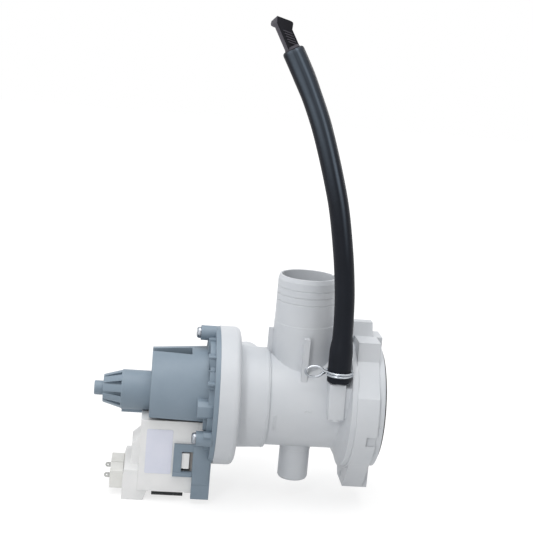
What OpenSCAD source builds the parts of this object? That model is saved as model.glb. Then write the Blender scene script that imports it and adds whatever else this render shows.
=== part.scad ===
// Washer drain pump: filter housing, synchronous pump motor, emergency drain hose with its plug.
// Millimetres. X runs along the filter axis towards the filter opening, Z is up along the inlet spigot.
// The origin lies on the filter axis, in the plane of the two front screw seats.

/* [Filter chamber] */
// Bore of the filter chamber
chamber_d = 62; // [56:0.5:68]
// Wall of the filter chamber
chamber_wall = 2.4; // [2:0.1:3.5]
// Depth of the chamber behind the screw seats
chamber_len = 69; // [62:1:76]
// Thickness of the partition between filter chamber and pump chamber
partition_t = 3.7; // [3:0.1:5]
// Bore of the suction eye in the partition
eye_d = 26; // [20:1:30]

/* [Pump chamber] */
// Bore of the pump chamber
pump_d = 66; // [60:1:68]
// Length of the pump chamber from the partition to the rear disc
pump_len = 19.3; // [18:0.1:22]
// Wall of the pump chamber at its front end
pump_wall = 2.2; // [2:0.1:3]
// Draft of the pump chamber wall over its length
pump_draft = 1; // [0.2:0.1:1.5]
// Diameter of the rear disc that carries the motor
disc_d = 97.6; // [94:0.2:104]
// Thickness of the rear disc
disc_t = 14.6; // [13:0.1:18]
// Round on the front edge of the rear disc
disc_round = 4; // [2:0.5:5]

/* [Front flange] */
// Diameter of the flange plate
flange_d = 94; // [92:0.5:100]
// Thickness of the flange plate
flange_t = 15.3; // [12:0.1:18]
// Step of the flange plate in front of the screw seats
flange_step = 2.8; // [2:0.1:5]
// Diameter of the round collar on the flange
collar_d = 89; // [86:0.5:91]
// Height of the collar above the screw seats
collar_h = 7; // [6:0.1:9]
// Distance from the axis to the slanted flats
flat_dist = 45; // [44.6:0.1:46.5]
// Angle of the slanted flats from the horizontal
flat_angle = 37; // [34:1:40]
// Height of the upper edge above the axis
brow_z = 51; // [49:0.5:52]
// Half width of the upper edge
brow_half = 26.5; // [24:0.5:28]
// Distance of the two screw holes from the axis
seat_z = 54.5; // [53.8:0.1:55.5]
// Diameter of the two screw holes
seat_hole_d = 5.2; // [4.5:0.1:6]
// Thickness of the two screw seats
seat_t = 11.5; // [8:0.5:12.5]
// Plastic around a screw hole
seat_margin = 3.2; // [2.6:0.1:3.6]

/* [Spigots] */
// Outside diameter of the inlet spigot
inlet_d = 41.6; // [38:0.1:44]
// Height of the inlet rim above the axis
inlet_z = 90.5; // [80:0.5:100]
// Distance of the inlet axis behind the screw seats
inlet_x = 48.2; // [46:0.1:49]
// Wall of the inlet spigot
inlet_wall = 2.1; // [1.6:0.1:3]
// Outside diameter of the lower spigot
lower_d = 21.6; // [18:0.1:24]
// Distance of the lower spigot axis behind the screw seats
lower_x = 46.6; // [40:0.1:52]
// Distance of the lower spigot end below the axis
lower_z = 58; // [52:0.5:66]
// Wall of the lower and the pressure spigot
spigot_wall = 2; // [1.6:0.1:2.6]
// Outside diameter of the pressure spigot
outlet_d = 24; // [20:0.1:24]
// Distance of the pressure spigot end from the axis
outlet_y = 75; // [68:0.5:84]
// Height of the pressure spigot above the axis
outlet_z = 8; // [4:0.5:12]
// Outside diameter of the hose nipple
nipple_d = 10.6; // [9:0.1:12]
// Bore of the hose nipple
nipple_bore = 7; // [5:0.1:7.4]
// Height of the nipple end above the axis
nipple_z = 46; // [40:0.5:52]

/* [Filter insert] */
// Diameter of the cap face
cap_d = 71; // [69:0.5:73]
// Thickness of the cap face
cap_t = 4.8; // [4:0.1:5.2]
// Radial clearance of the cap in the housing
cap_gap = 0.4; // [0.3:0.05:0.6]
// Depth of the cap body behind the screw seats
cap_body = 19.5; // [19:0.5:22]
// Diameter of the grip recess
grip_d = 49; // [44:0.5:52]
// Thickness of the grip bar
grip_t = 7; // [5:0.5:10]
// Advance of the thread for one turn
thread_lead = 15; // [12:0.5:18]
// Outside diameter of the strainer basket
basket_d = 55; // [48:0.5:57]
// Wall of the strainer basket
basket_wall = 2; // [1.5:0.1:3]
// Number of slots around the basket
slot_count = 9; // [5:1:10]
// Width of a strainer slot
slot_w = 7; // [5:0.5:8]

/* [Rotor] */
// Outside diameter of the sealed rotor can
can_d = 27.8; // [27:0.1:29]
// Wall of the rotor can
can_wall = 1.5; // [1.2:0.1:1.6]
// Clearance between magnet and can
magnet_gap = 0.6; // [0.4:0.05:0.8]
// Length of the magnet
magnet_len = 38; // [30:1:42]
// Diameter of the shaft
shaft_d = 5; // [4:0.1:6]
// Radial running clearance of the shaft in its bushes
shaft_gap = 0.05; // [0.02:0.01:0.1]
// Diameter of the impeller
impeller_d = 46; // [40:1:54]
// Number of impeller blades
blade_count = 6; // [4:1:8]
// Height of the blades along the shaft
blade_h = 14; // [10:0.5:15]

/* [Motor] */
// Thickness of the motor frame plate
plate_t = 3.3; // [2.5:0.1:4.5]
// Length of the shroud behind the plate
shroud_len = 42.8; // [41:0.1:50]
// Radius of the shroud at its rear end
shroud_r = 31; // [30:0.2:32]
// Growth of the shroud radius towards the plate
shroud_draft = 3.2; // [1:0.1:4]
// Wall of the shroud
shroud_wall = 2.2; // [1.8:0.1:3]
// Height of the lower shroud edge, measured from the axis
shroud_low = -10; // [-12:0.5:-9]
// Length of the lamination stack
stack_len = 22; // [18:0.5:24]
// Distance of the lamination foot below the axis
stack_z = 70.4; // [69:0.2:74]
// Half width of the coil cover
cover_half = 25; // [24:0.5:27]
// Wall of the coil cover
cover_wall = 2; // [1.5:0.1:2.5]
// Circle radius of the flange screws
screw_r = 44.4; // [43.5:0.1:45]
// Diameter of the flange screw head
head_d = 8; // [7:0.1:9]
// Diameter of the flange screw shank
shank_d = 4; // [3:0.1:4.6]

/* [Drain hose] */
// Outside diameter of the drain hose
hose_d = 13.6; // [13:0.1:15]
// Bore of the drain hose
hose_bore = 8; // [7:0.1:9]
// Wire diameter of the hose clamp
wire_d = 1.5; // [1.2:0.1:1.8]
// Length of the plug stem inside the hose
stem_len = 15; // [10:0.5:17]
// Length of the plug outside the hose
plug_len = 23; // [18:0.5:30]

/* [Hidden] */
$fn = 96;

// How far a cut runs past its face, and the gap between pieces that only rest on each other
cut = 0.5;
rest_gap = 0.3;

// Places along the axis, from the front to the rear
chamber_r = chamber_d / 2;
tube_r = chamber_r + chamber_wall;
x_flange_back = flange_step - flange_t;
x_partition = -chamber_len;
x_eye_back = x_partition - partition_t;
x_seam = x_partition - 0.6 * partition_t;
x_disc_front = x_eye_back - pump_len;
x_disc_back = x_disc_front - disc_t;
x_plate_back = x_disc_back - plate_t;
x_shroud_back = x_plate_back - shroud_len;

// Flange: the slanted flats end where they meet the round plate
flange_r = flange_d / 2;
collar_r = collar_d / 2;
knee_angle = flat_angle + acos(flat_dist / flange_r);
lug_angle = 50.5;
lug_half = 12;
lug_wall = 2.2;
hole_r = seat_hole_d / 2;
ear_half = hole_r + seat_margin + 2.5;
ear_top = 3.6;
ear_reach = seat_z + hole_r + seat_margin;
lug_reach = ear_reach - 0.8;
brow_block = 9;
collar_rim = 0.7;
front_seal_t = 1.4;
front_seal_in = 3.2;
front_seal_w = 3;
shoulder_r = flange_r - 1;
shoulder_len = 9.5;
notch_z = [-17.5, -10.5];
notch_depth = 4.5;

// Spigots: root a little thicker than the hose end, lead-in at the rim, ribs and shallow grooves
root_z = 57;
root_len = 2.4;
root_step = 0.25;
lead = 3;
lead_in = 0.9;
small_lead = 1.2;
groove_count = 3;
fine_groove = 0.6;
fine_depth = 0.2;
rib_t = 2.6;
rib_drop = 5.6;
rear_rib = 3.6;
near_rib = 5.6;

// Opening for the filter: seat of the cap face, then the thread zone
cap_seat = 1.5;
cap_face_r = cap_d / 2;
mouth_r = cap_face_r + 0.5;
thread_r = chamber_r + 3.2;
thread_back = -9.5;
thread_starts = 3;
thread_play = 0.9;
ridge_t = thread_lead / thread_starts / 2 - thread_play;
ridge_arc = 36;
ridge_steps = 4;
ridge_x = -4.5;
cap_r = chamber_r - cap_gap;
cap_front = cap_seat + rest_gap + cap_t;
cap_floor = 3;
groove_x = -17.3;
groove_w = 2.6;
groove_depth = 2.1;

// Strainer basket
basket_r = basket_d / 2;
basket_back = x_partition + 3;
basket_in = basket_r - basket_wall;
slot_pitch = 26;
slot_rows = 2;
slot_bridge = 3;

// Pump chamber, seat ring of the rotor can and cored rim of the disc
pump_r = pump_d / 2;
disc_r = disc_d / 2;
seat_ring_r = pump_r + 4;
can_flange_t = 2;
seal_t = 1.2;
seat_ring_t = can_flange_t + seal_t;
rim_wall = 2.6;
core_depth = disc_t - 3.5;
screw_angles = [90, 206, 334];
boss_r = 5.2;
boss_len = 10.2;
shank_r = shank_d / 2;
head_t = 3;
bite = 12;

// Rotor can and what turns in it
can_r = can_d / 2;
bore_r = can_r - can_wall;
x_can_back = x_shroud_back - 20.3;
fin_len = 12.6;
fin_count = 10;
fin_t = 4;
fin_r = [can_r - 0.5, 9.8];
fin_core = 6;
knob_r = 5;
knob_len = 6.3;
rail_half = 3;
rail_h = 1.1;
shaft_r = shaft_d / 2;
magnet_r = bore_r - magnet_gap;
bush_t = 5;
x_rear_bush = x_can_back + 3;
x_front_bush = x_disc_back + can_flange_t - bush_t;
x_magnet = (x_rear_bush + bush_t + x_front_bush - magnet_len) / 2;

// Impeller: a dog on the shaft turns freely between two faces of a stop in the hub
x_pump_back = x_disc_back + seat_ring_t;
x_hub_back = x_pump_back + 1;
hub_r = 11;
dog_r = 7.6;
dog_t = 5;
dog_arc = 30;
dog_room = 0.6;
x_dog = x_hub_back + 1.5;
x_dog_wall = x_dog + dog_t + dog_room;
x_blade_front = x_eye_back - 3;
x_blade_back = x_blade_front - blade_h;
x_shaft_front = x_blade_front - 6;
blade_t = 2;
web_t = 1.6;

// Stator
x_stack_back = x_shroud_back + 5.4;
x_stack_front = x_stack_back + stack_len;
arm_y = [cover_half - 16, cover_half - 8];
shoe_y = [arm_y[0] - 1, cover_half - 4];
shoe_z = [-12.5, 14];
yoke_half = cover_half - 6;
yoke_h = 9;
pole_gap = 0.4;
bobbin_z = [-59, -19];
bobbin_fit = 0.2;
bobbin_wall = 1.2;
bobbin_lip = 1.5;
coil_t = 3;
coil_fit = 0.1;

// Coil cover and terminals
cover_top = -13.3;
cover_low = 5.4 - stack_z;
cover_x = [x_stack_back - 10.3, x_stack_front + 7.3];
tail_half = cover_half - 1;
tail_x = cover_x[0] - 10.4;
tail_top = cover_low + 14.3;
tail_low = cover_low - 7.3;
tail_bevel = [1.1, 4.8];
tail_slope = [cover_x[0] + 4.5, cover_x[0] + 7.2];
rib_half = 12;
rib_x = cover_x[0] - 5.4;
rib_top = tail_top + 20.4;
rib_fall = 5;
block_half = 18;
block_len = 9;
block_top = tail_top - 3.6;
block_h = 12.4;
notch_w = 1;
tab_w = 3.4;
tab_t = 0.8;
tab_out = 4.2;
tab_in = 7;
tab_hole_r = 0.6;
tab_y = 9.9;
tab_z = block_top - block_h / 2;

// Slot in the crown of the shroud, wider to the front, with a fin along its far edge
slot_y = [-5.2, -11];
slot_front = 15.5;
slot_fin = 7;
slot_fin_t = 1.6;

// Ring on the rear face of the plate
ring_in = 5.8;
ring_rise = 3.6;

// Latches of the motor frame beside the coil cover
latch_in = cover_half + rest_gap;
latch_t = 2.4;
latch_x = [x_plate_back - 23.9, x_plate_back - 10.3];
latch_z = [-52.3, -29];
window_x = [x_plate_back - 18.2, x_plate_back - 10.6];
window_z = [-48.8, -34.1];
lug_x = [window_x[0] + 1.4, window_x[1] - 2.3];
lug_z = [window_z[0] + 2.3, window_z[1] - 1.2];
skirt_z = [-68.4, -24];

// Stops on the rear face of the plate
stop_len = 10.5;
hook_len = 4.8;

// Route of the drain hose, in a plane beside the housing
nipple_y = -36;
nipple_x = -26;
nipple_low = -2;
ROUTE = [
  [-26, -36, 25], [-26, -36, 36], [-26, -36, 45], [-26.2, -36, 60], [-26.8, -36, 75], [-28, -36, 90],
  [-31, -36, 112], [-36.5, -36, 141], [-42.5, -36, 163], [-51, -36, 189], [-58.1, -36, 207],
  [-67.3, -36, 226.2], [-77.3, -36, 244.4]
];
hose_sides = 12;
swell_rings = 3;
nipple_r = nipple_d / 2;
route_end = ROUTE[len(ROUTE) - 1];
end_dir = unit(route_end - ROUTE[len(ROUTE) - 2]);
flat_share = cos(180 / hose_sides);
nipple_bore_r = nipple_bore / 2;
hose_grip_r = (nipple_r + 0.05) / flat_share;
hose_wall = (hose_d - hose_bore) / 2;
stem_r = hose_bore / 2 * flat_share - 0.45;
grip_w = 7.4;
grip_deep = 6.6;
grip_turn = 30;
head_reach = 4;

// Wire of the hose clamp: a hoop, a long ear, and a second hoop above the first
clamp_z = 31;
hoop_r = hose_grip_r + hose_wall - 0.5 + wire_d / 2 + 0.1;
hoop_gap = 2.5;
hoop_open = 22;
ear_len = 15;
ear_h = 8.6;
wire_sides = 6;

function unit(v) = v / norm(v);

// Points of an arc, both ends included
function arc(centre, r, a0, a1, n) =
  [for (i = [0:n]) let (a = a0 + (a1 - a0) * i / n) centre + r * [cos(a), sin(a)]];

// Mean direction of a path at one of its points
function heading(path, i) =
  unit(path[min(i + 1, len(path) - 1)] - path[max(i - 1, 0)]);

// Ring of points square to a direction
function ring(centre, dir, up, r, sides) =
  let (u = unit(cross(dir, up)), v = cross(u, dir))
  [for (k = [0:sides - 1]) let (a = 360 * (k + 0.5) / sides) centre + r * (cos(a) * u + sin(a) * v)];

// Triangles between two neighbouring rings of a tube, facing outwards
function band(a, b, sides) =
  [for (k = [0:sides - 1]) let (n = (k + 1) % sides) each [[a + k, b + k, b + n], [a + k, b + n, a + n]]];

function flip(faces) = [for (f = faces) [f[0], f[2], f[1]]];

function cap_fan(first, sides) = [for (k = [1:sides - 2]) [first, first + k, first + k + 1]];

// Solid wire along a path
module wire(path, up, r, sides) {
  n = len(path);
  rings = [for (i = [0:n - 1]) each ring(path[i], heading(path, i), up, r, sides)];
  sides_f = [for (i = [0:n - 2]) each band(i * sides, (i + 1) * sides, sides)];
  polyhedron(rings, concat(sides_f, cap_fan(0, sides), flip(cap_fan((n - 1) * sides, sides))));
}

// Hollow hose along a path, with an outer and an inner radius at each point
module tube(path, up, r_out, r_in, sides) {
  n = len(path);
  outer = [for (i = [0:n - 1]) each ring(path[i], heading(path, i), up, r_out[i], sides)];
  inner = [for (i = [0:n - 1]) each ring(path[i], heading(path, i), up, r_in[i], sides)];
  m = n * sides;
  walls = [for (i = [0:n - 2]) each band(i * sides, (i + 1) * sides, sides)];
  bore = [for (i = [0:n - 2]) each flip(band(m + i * sides, m + (i + 1) * sides, sides))];
  low = flip(band(0, m, sides));
  high = band((n - 1) * sides, m + (n - 1) * sides, sides);
  polyhedron(concat(outer, inner), concat(walls, bore, low, high));
}

module bar_x(x0, x1, r, r_front = 0) {
  translate([x0, 0, 0]) rotate([0, 90, 0]) cylinder(h = x1 - x0, r1 = r, r2 = r_front > 0 ? r_front : r);
}

module ring_x(x0, x1, r_out, r_in) {
  difference() {
    bar_x(x0, x1, r_out);
    bar_x(x0 - cut, x1 + cut, r_in);
  }
}

// Outline drawn as (y, z), raised along X
module plate_x(x0, x1) {
  translate([x0, 0, 0]) rotate([90, 0, 90]) linear_extrude(x1 - x0) children();
}

// Outline drawn as (x, z), raised along Y
module plate_y(y0, y1) {
  translate([0, y1, 0]) rotate([90, 0, 0]) linear_extrude(y1 - y0) children();
}

// Profile drawn as (radius, x), turned round the axis
module turned_x(points) {
  rotate([0, 90, 0]) rotate_extrude() polygon(points);
}

// Sector of a ring round the axis, its angle measured from +Y towards +Z
module sector_x(x0, x1, r_out, r_in, from, width) {
  translate([x0, 0, 0])
    rotate([90, 0, 90])
      rotate(from)
        rotate_extrude(angle = width)
          translate([r_in, 0]) square([r_out - r_in, x1 - x0]);
}

// Post along Y, standing on y0
module bar_y(x, z, y0, y1, r) {
  translate([x, y0, z]) rotate([-90, 0, 0]) cylinder(h = y1 - y0, r = r);
}

module box(lo, hi) {
  translate(lo) cube(hi - lo);
}

module both_sides() {
  children();
  mirror([0, 1, 0]) children();
}

// Ridges of the coarse filter thread, each climbing in small steps
module thread_ridges(x0, r_out, r_in) {
  step = ridge_arc / ridge_steps;
  half = r_out * tan(step / 2) + 0.2;
  rise = thread_lead * step / 360;
  intersection() {
    ring_x(x0 - 1, x0 + ridge_t + rise * ridge_steps + 1, r_out, r_in);
    for (start = [0:thread_starts - 1], i = [0:ridge_steps - 1])
      let (x = x0 + rise * i)
        rotate([start * 360 / thread_starts + (i + 0.5) * step - ridge_arc / 2, 0, 0])
          box([x, -half, r_in - 2], [x + ridge_t, half, r_out + 1]);
  }
}

// Places a child at each flange screw, with its own X along the axis
module at_screws(angles = screw_angles) {
  for (a = angles)
    translate([0, screw_r * cos(a), screw_r * sin(a)]) children();
}

// Front flange, its brow and its lower lug, drawn as (y, z)
module flange_outline() {
  difference() {
    circle(r = flange_r);
    for (side = [0, 1])
      mirror([side, 0]) rotate(flat_angle) translate([flat_dist, -flange_r]) square(2 * flange_r);
  }
  knee = flange_r * [cos(knee_angle), sin(knee_angle)];
  polygon([knee, [brow_half, brow_z], [-brow_half, brow_z], [-knee[0], knee[1]]]);
}

module lug_outline() {
  knee = flange_r * [cos(lug_angle), -sin(lug_angle)];
  polygon([knee, [lug_half, -lug_reach], [-lug_half, -lug_reach], [-knee[0], knee[1]]]);
}

// Everything of the housing before it is hollowed
module housing_body() {
  volute_r = pump_r + pump_wall;
  round_at = [disc_r - disc_round, x_disc_front - disc_round];
  turned_x(concat(
    [[0, x_disc_back], [disc_r, x_disc_back]],
    arc(round_at, disc_round, 0, 90, 5),
    [[volute_r + pump_draft, x_disc_front], [volute_r, x_seam], [tube_r, x_seam]],
    [[tube_r, x_flange_back - shoulder_len], [shoulder_r - 4.5, x_flange_back - shoulder_len + 4.5]],
    [[shoulder_r, x_flange_back - shoulder_len + 6], [shoulder_r, x_flange_back + cut], [0, x_flange_back + cut]]
  ));
  plate_x(x_flange_back, flange_step) flange_outline();
  bar_x(flange_step - cut, collar_h, collar_r);
  box([x_flange_back, -brow_block, chamber_r + 8], [collar_h, brow_block, brow_z]);
  plate_x(-seat_t - 2, 0)
    polygon([[-ear_half, brow_z], [-ear_top, ear_reach], [ear_top, ear_reach], [ear_half, brow_z], [0, brow_z - 8]]);
  plate_y(-ear_half + 1, ear_half - 1) ear_fillet();
  plate_x(-seat_t, flange_step) lug_outline();
  box([0, -lug_half, -lug_reach], [collar_h - collar_rim, lug_half, -chamber_r - 8]);
  inlet_spigot();
  lower_spigot();
  pressure_spigot();
  hose_nipple();
}

// Small fillet between the upper ear and the brow
module ear_fillet(r = 1.5) {
  difference() {
    translate([-cut, brow_z - cut]) square(r + cut);
    translate([r, brow_z + r]) circle(r = r);
  }
}

// Inlet spigot: the hose end is turned a little finer than the root, and carries shallow sealing grooves
module inlet_spigot() {
  inlet_r = inlet_d / 2;
  hose_part = inlet_z - root_z;
  translate([-inlet_x, 0, 0]) {
    cylinder(h = root_z, r = inlet_r + root_step);
    difference() {
      cylinder(h = inlet_z - lead, r = inlet_r);
      for (i = [0:groove_count - 1])
        translate([0, 0, inlet_z - lead - hose_part / 6 - i * hose_part / 7]) difference() {
          cylinder(h = fine_groove, r = inlet_r + 1);
          translate([0, 0, -cut]) cylinder(h = 2, r = inlet_r - fine_depth);
        }
    }
    translate([0, 0, inlet_z - lead]) cylinder(h = lead, r1 = inlet_r, r2 = inlet_r - lead_in);
    plate_y(-rib_t / 2, rib_t / 2)
      translate([-inlet_r - rear_rib, chamber_r - 2]) square([inlet_r / 2, root_z - rib_drop - chamber_r + 2]);
    box([-2, -inlet_r - near_rib, chamber_r - 13], [2.2, -inlet_r + 2, root_z - rib_drop - 0.9]);
  }
}

module lower_spigot() {
  lower_r = lower_d / 2;
  translate([-lower_x, 0, -lower_z]) {
    cylinder(h = small_lead, r1 = lower_r - 0.7, r2 = lower_r);
    translate([0, 0, small_lead]) cylinder(h = lower_z - 12, r = lower_r);
    translate([0, 0, lower_z - tube_r - root_len]) cylinder(h = tube_r / 2, r = lower_r + root_step);
  }
}

module pressure_spigot() {
  outlet_r = outlet_d / 2;
  x = x_eye_back - outlet_r + spigot_wall + 1.7;
  bar_y(x, outlet_z, 15, outlet_y, outlet_r);
  bar_y(x, outlet_z, 15, disc_r + root_len, outlet_r + root_step);
}

module hose_nipple() {
  translate([nipple_x, nipple_y, nipple_low]) {
    cylinder(h = nipple_z - nipple_low - lead, r = nipple_r);
    translate([0, 0, nipple_z - nipple_low - lead]) cylinder(h = lead, r1 = nipple_r, r2 = nipple_r - lead_in);
    box([-nipple_r, 0, 0], [nipple_r, -nipple_y - 28, clamp_z - 9 - nipple_low]);
  }
}

// All passages of the housing
module housing_bores() {
  outlet_r = outlet_d / 2 - spigot_wall;
  inlet_bore = inlet_d / 2 - inlet_wall;
  lower_bore = lower_d / 2 - spigot_wall;
  bar_x(x_partition, thread_back + cut, chamber_r);
  bar_x(cap_seat, collar_h + cut, mouth_r);
  bar_x(x_eye_back - cut, x_partition + cut, eye_d / 2);
  bar_x(x_disc_back - cut, x_eye_back, pump_r);
  bar_x(x_disc_back - cut, x_pump_back, seat_ring_r);
  difference() {
    ring_x(x_disc_back - cut, x_disc_back + core_depth, disc_r - rim_wall, seat_ring_r + rim_wall);
    at_screws() bar_x(x_disc_back - cut, x_disc_back + core_depth, boss_r);
  }
  at_screws() bar_x(x_disc_back - cut, x_disc_back + bite, shank_r);
  translate([-inlet_x, 0, 0]) cylinder(h = inlet_z + cut, r = inlet_bore);
  translate([-lower_x, 0, -lower_z - cut]) cylinder(h = lower_z, r = lower_bore);
  bar_y(x_eye_back - outlet_r + 1.7, outlet_z, 20, outlet_y + cut, outlet_r);
  translate([nipple_x, nipple_y, 3]) cylinder(h = nipple_z, r = nipple_bore_r);
  bar_y(nipple_x, 3 + nipple_bore_r, nipple_y, -chamber_r + 8, nipple_bore_r);
  for (side = [-1, 1])
    translate([0, 0, side * seat_z]) bar_x(-seat_t - 3, collar_h, hole_r);
  box([0, lug_wall - lug_half + 0.6, lug_wall - lug_reach], [collar_h, lug_half - lug_wall - 0.6, -collar_r - 1.6]);
  box([-4, -flange_r - cut, notch_z[0]], [flange_step + cut, notch_depth - flange_r, notch_z[1]]);
}

module filter_housing() {
  color("#C9CDD1") {
    difference() {
      housing_body();
      housing_bores();
      difference() {
        bar_x(thread_back, cap_seat + cut, thread_r);
        thread_ridges(ridge_x, thread_r + 1, cap_r + cap_gap + 0.1);
      }
    }
  }
}

module front_seal() {
  outer_r = collar_r - front_seal_in;
  color("#1D1E20") ring_x(collar_h, collar_h + front_seal_t, outer_r, outer_r - front_seal_w);
}

module filter_cap() {
  grip_r = grip_d / 2;
  pocket_back = cap_floor - cap_body;
  color("#D4D6D8") {
    difference() {
      union() {
        bar_x(cap_front - cap_t, cap_front - 0.8, cap_face_r);
        bar_x(cap_front - 0.8, cap_front, cap_face_r, cap_face_r - 0.8);
        bar_x(-cap_body, cap_front - cap_t, cap_r);
      }
      bar_x(pocket_back, cap_front + cut, grip_r);
      ring_x(groove_x, groove_x + groove_w, cap_r + cut, cap_r - groove_depth);
    }
    intersection() {
      box([pocket_back - cut, -grip_r - 1, -grip_t / 2], [cap_front - 0.5, grip_r + 1, grip_t / 2]);
      bar_x(pocket_back - cut, cap_front, grip_r + 0.5);
    }
    thread_ridges(ridge_x - thread_play - ridge_t, thread_r - 0.5, cap_r - 0.5);
    ring_x(-cap_body - 4, -cap_body + cut, basket_in - bobbin_fit, basket_in - 3);
  }
}

module filter_basket() {
  row_len = (-cap_body - 6 - basket_back - 5 - slot_bridge) / slot_rows;
  color("#CFD1D3") {
    difference() {
      union() {
        ring_x(basket_back, -cap_body, basket_r, basket_in);
        ring_x(basket_back, basket_back + 2, basket_r, eye_d / 2 - 1);
      }
      translate([-inlet_x, 0, 0]) cylinder(h = basket_d, r = basket_r * 0.58);
      for (i = [0:slot_count - 1], row = [0:slot_rows - 1])
        rotate([(i - (slot_count - 1) / 2) * slot_pitch, 0, 0])
          translate([basket_back + 5 + row * (row_len + slot_bridge), -slot_w / 2, -basket_r - 1])
            cube([row_len, slot_w, basket_wall + 3]);
    }
  }
}

module filter_seal() {
  inner_r = cap_r - groove_depth + rest_gap;
  color("#26272A")
    ring_x(groove_x + rest_gap, groove_x + groove_w - rest_gap, chamber_r - rest_gap, inner_r);
}

module rotor_can() {
  color("#8497A6") {
    difference() {
      union() {
        bar_x(x_can_back, x_disc_back, can_r);
        bar_x(x_disc_back, x_disc_back + can_flange_t, seat_ring_r - rest_gap);
      }
      bar_x(x_can_back + can_wall, x_disc_back + can_flange_t + cut, bore_r);
    }
    bar_x(x_can_back - fin_len, x_can_back + cut, fin_core);
    bar_x(x_can_back - fin_len - knob_len, x_can_back - fin_len + cut, knob_r);
    for (i = [0:fin_count - 1])
      rotate([(i + 0.5) * 360 / fin_count, 0, 0]) plate_y(-fin_t / 2, fin_t / 2) polygon([
        [x_can_back - fin_len, 0], [x_can_back + cut, 0], [x_can_back + cut, fin_r[0]], [x_can_back - fin_len, fin_r[1]]
      ]);
    box([x_can_back + 1, -rail_half, -can_r - rail_h], [x_shroud_back, rail_half, -can_r + can_wall / 2]);
  }
}

module can_seal() {
  color("#222326")
    ring_x(x_disc_back + can_flange_t, x_pump_back, seat_ring_r - rest_gap, pump_r + 0.6);
}

module bush(x) {
  ring_x(x, x + bush_t, bore_r, shaft_r + shaft_gap);
}

module rear_bush() {
  color("#3A3B3D") bush(x_rear_bush);
}

module front_bush() {
  color("#3A3B3D") bush(x_front_bush);
}

module rotor_shaft() {
  color("#B9BCC0") {
    bar_x(x_rear_bush - 0.5, x_shaft_front, shaft_r);
    sector_x(x_dog, x_dog + dog_t, dog_r, shaft_r - cut, 90 - dog_arc / 2, dog_arc);
  }
}

module rotor_magnet() {
  color("#47484C") ring_x(x_magnet, x_magnet + magnet_len, magnet_r, shaft_r);
}

module impeller() {
  room_r = dog_r + dog_room;
  color("#E3E4E2") {
    difference() {
      union() {
        bar_x(x_hub_back, x_blade_front - 2, hub_r);
        bar_x(x_blade_front - 2, x_blade_front, hub_r, hub_r - 2);
        bar_x(x_blade_back - web_t, x_blade_back, impeller_d / 2);
        for (i = [0:blade_count - 1])
          rotate([i * 360 / blade_count, 0, 0])
            box([x_blade_back - cut, -blade_t / 2, 0], [x_blade_front, blade_t / 2, impeller_d / 2 - 1]);
      }
      bar_x(x_hub_back - cut, x_shaft_front + 1, shaft_r + shaft_gap);
      difference() {
        bar_x(x_hub_back - cut, x_dog_wall, room_r);
        sector_x(x_hub_back - 1, x_dog_wall + 1, room_r + 1, shaft_r + dog_room, 270 - dog_arc / 2, dog_arc);
      }
    }
  }
}

module motor_frame() {
  plate_r = disc_r - 0.5;
  color("#8A9BA8") {
    difference() {
      union() {
        bar_x(x_plate_back, x_disc_back, plate_r);
        at_screws() bar_x(x_plate_back - boss_len, x_plate_back + cut, boss_r);
        ring_x(x_plate_back - ring_rise, x_plate_back + cut, disc_r - ring_in, disc_r - ring_in - 2.6);
      }
      bar_x(x_plate_back - cut, x_disc_back + cut, can_r + rest_gap);
      at_screws() bar_x(x_plate_back - boss_len - cut, x_disc_back + cut, shank_r + rest_gap);
    }
    shroud();
    both_sides() latch();
    side_stops();
  }
}

// Tapered hood over the stator, open below and closed at the rear
module shroud() {
  front_r = shroud_r + shroud_draft;
  difference() {
    bar_x(x_shroud_back, x_plate_back + cut, shroud_r, front_r);
    bar_x(x_shroud_back + shroud_wall, x_plate_back + 1, shroud_r - shroud_wall, front_r - shroud_wall);
    box([x_shroud_back - 1, -front_r - 1, -front_r - 1], [x_plate_back, front_r + 1, shroud_low]);
    translate([0, 0, can_r + 2]) linear_extrude(front_r) polygon([
      [x_shroud_back - 1, 0], [x_shroud_back - 1, slot_y[0]], [x_plate_back - slot_front, slot_y[1]],
      [x_plate_back - slot_front, 0]
    ]);
    bar_x(x_shroud_back - 1, x_shroud_back + shroud_wall + 1, can_r + rest_gap);
  }
  intersection() {
    box([x_shroud_back, 0, shroud_r - slot_fin], [x_plate_back - slot_front, slot_fin_t, front_r]);
    bar_x(x_shroud_back - 1, x_plate_back, shroud_r - shroud_wall / 2, front_r - shroud_wall / 2);
  }
}

// Arm with a window that catches the lug of the coil cover, and the skirt that carries it
module latch() {
  difference() {
    union() {
      box([latch_x[0], latch_in, latch_z[0]], [latch_x[1] + cut, latch_in + latch_t, latch_z[1]]);
      box([latch_x[1], latch_in, skirt_z[0]], [x_disc_back - 1, latch_in + latch_t, skirt_z[1]]);
    }
    box([window_x[0], latch_in - 1, window_z[0]], [window_x[1], latch_in + latch_t + 1, window_z[1]]);
  }
}

// Small stops and gussets on the rear face of the plate
module side_stops() {
  ring_r = disc_r - ring_in;
  reach = x_plate_back + cut;
  box([x_plate_back - stop_len, -ring_r + 4, -5], [reach, -shroud_r - 1.5, 6.5]);
  box([x_plate_back - hook_len, -ring_r + 1.5, 16], [reach, -ring_r + 5, 19.5]);
  box([x_plate_back - hook_len, -12, shroud_r + 2], [reach, -8, ring_r]);
  box([x_plate_back - hook_len - 1.2, -ring_r + 5, -14], [reach, -ring_r + 8, -5]);
}

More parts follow.
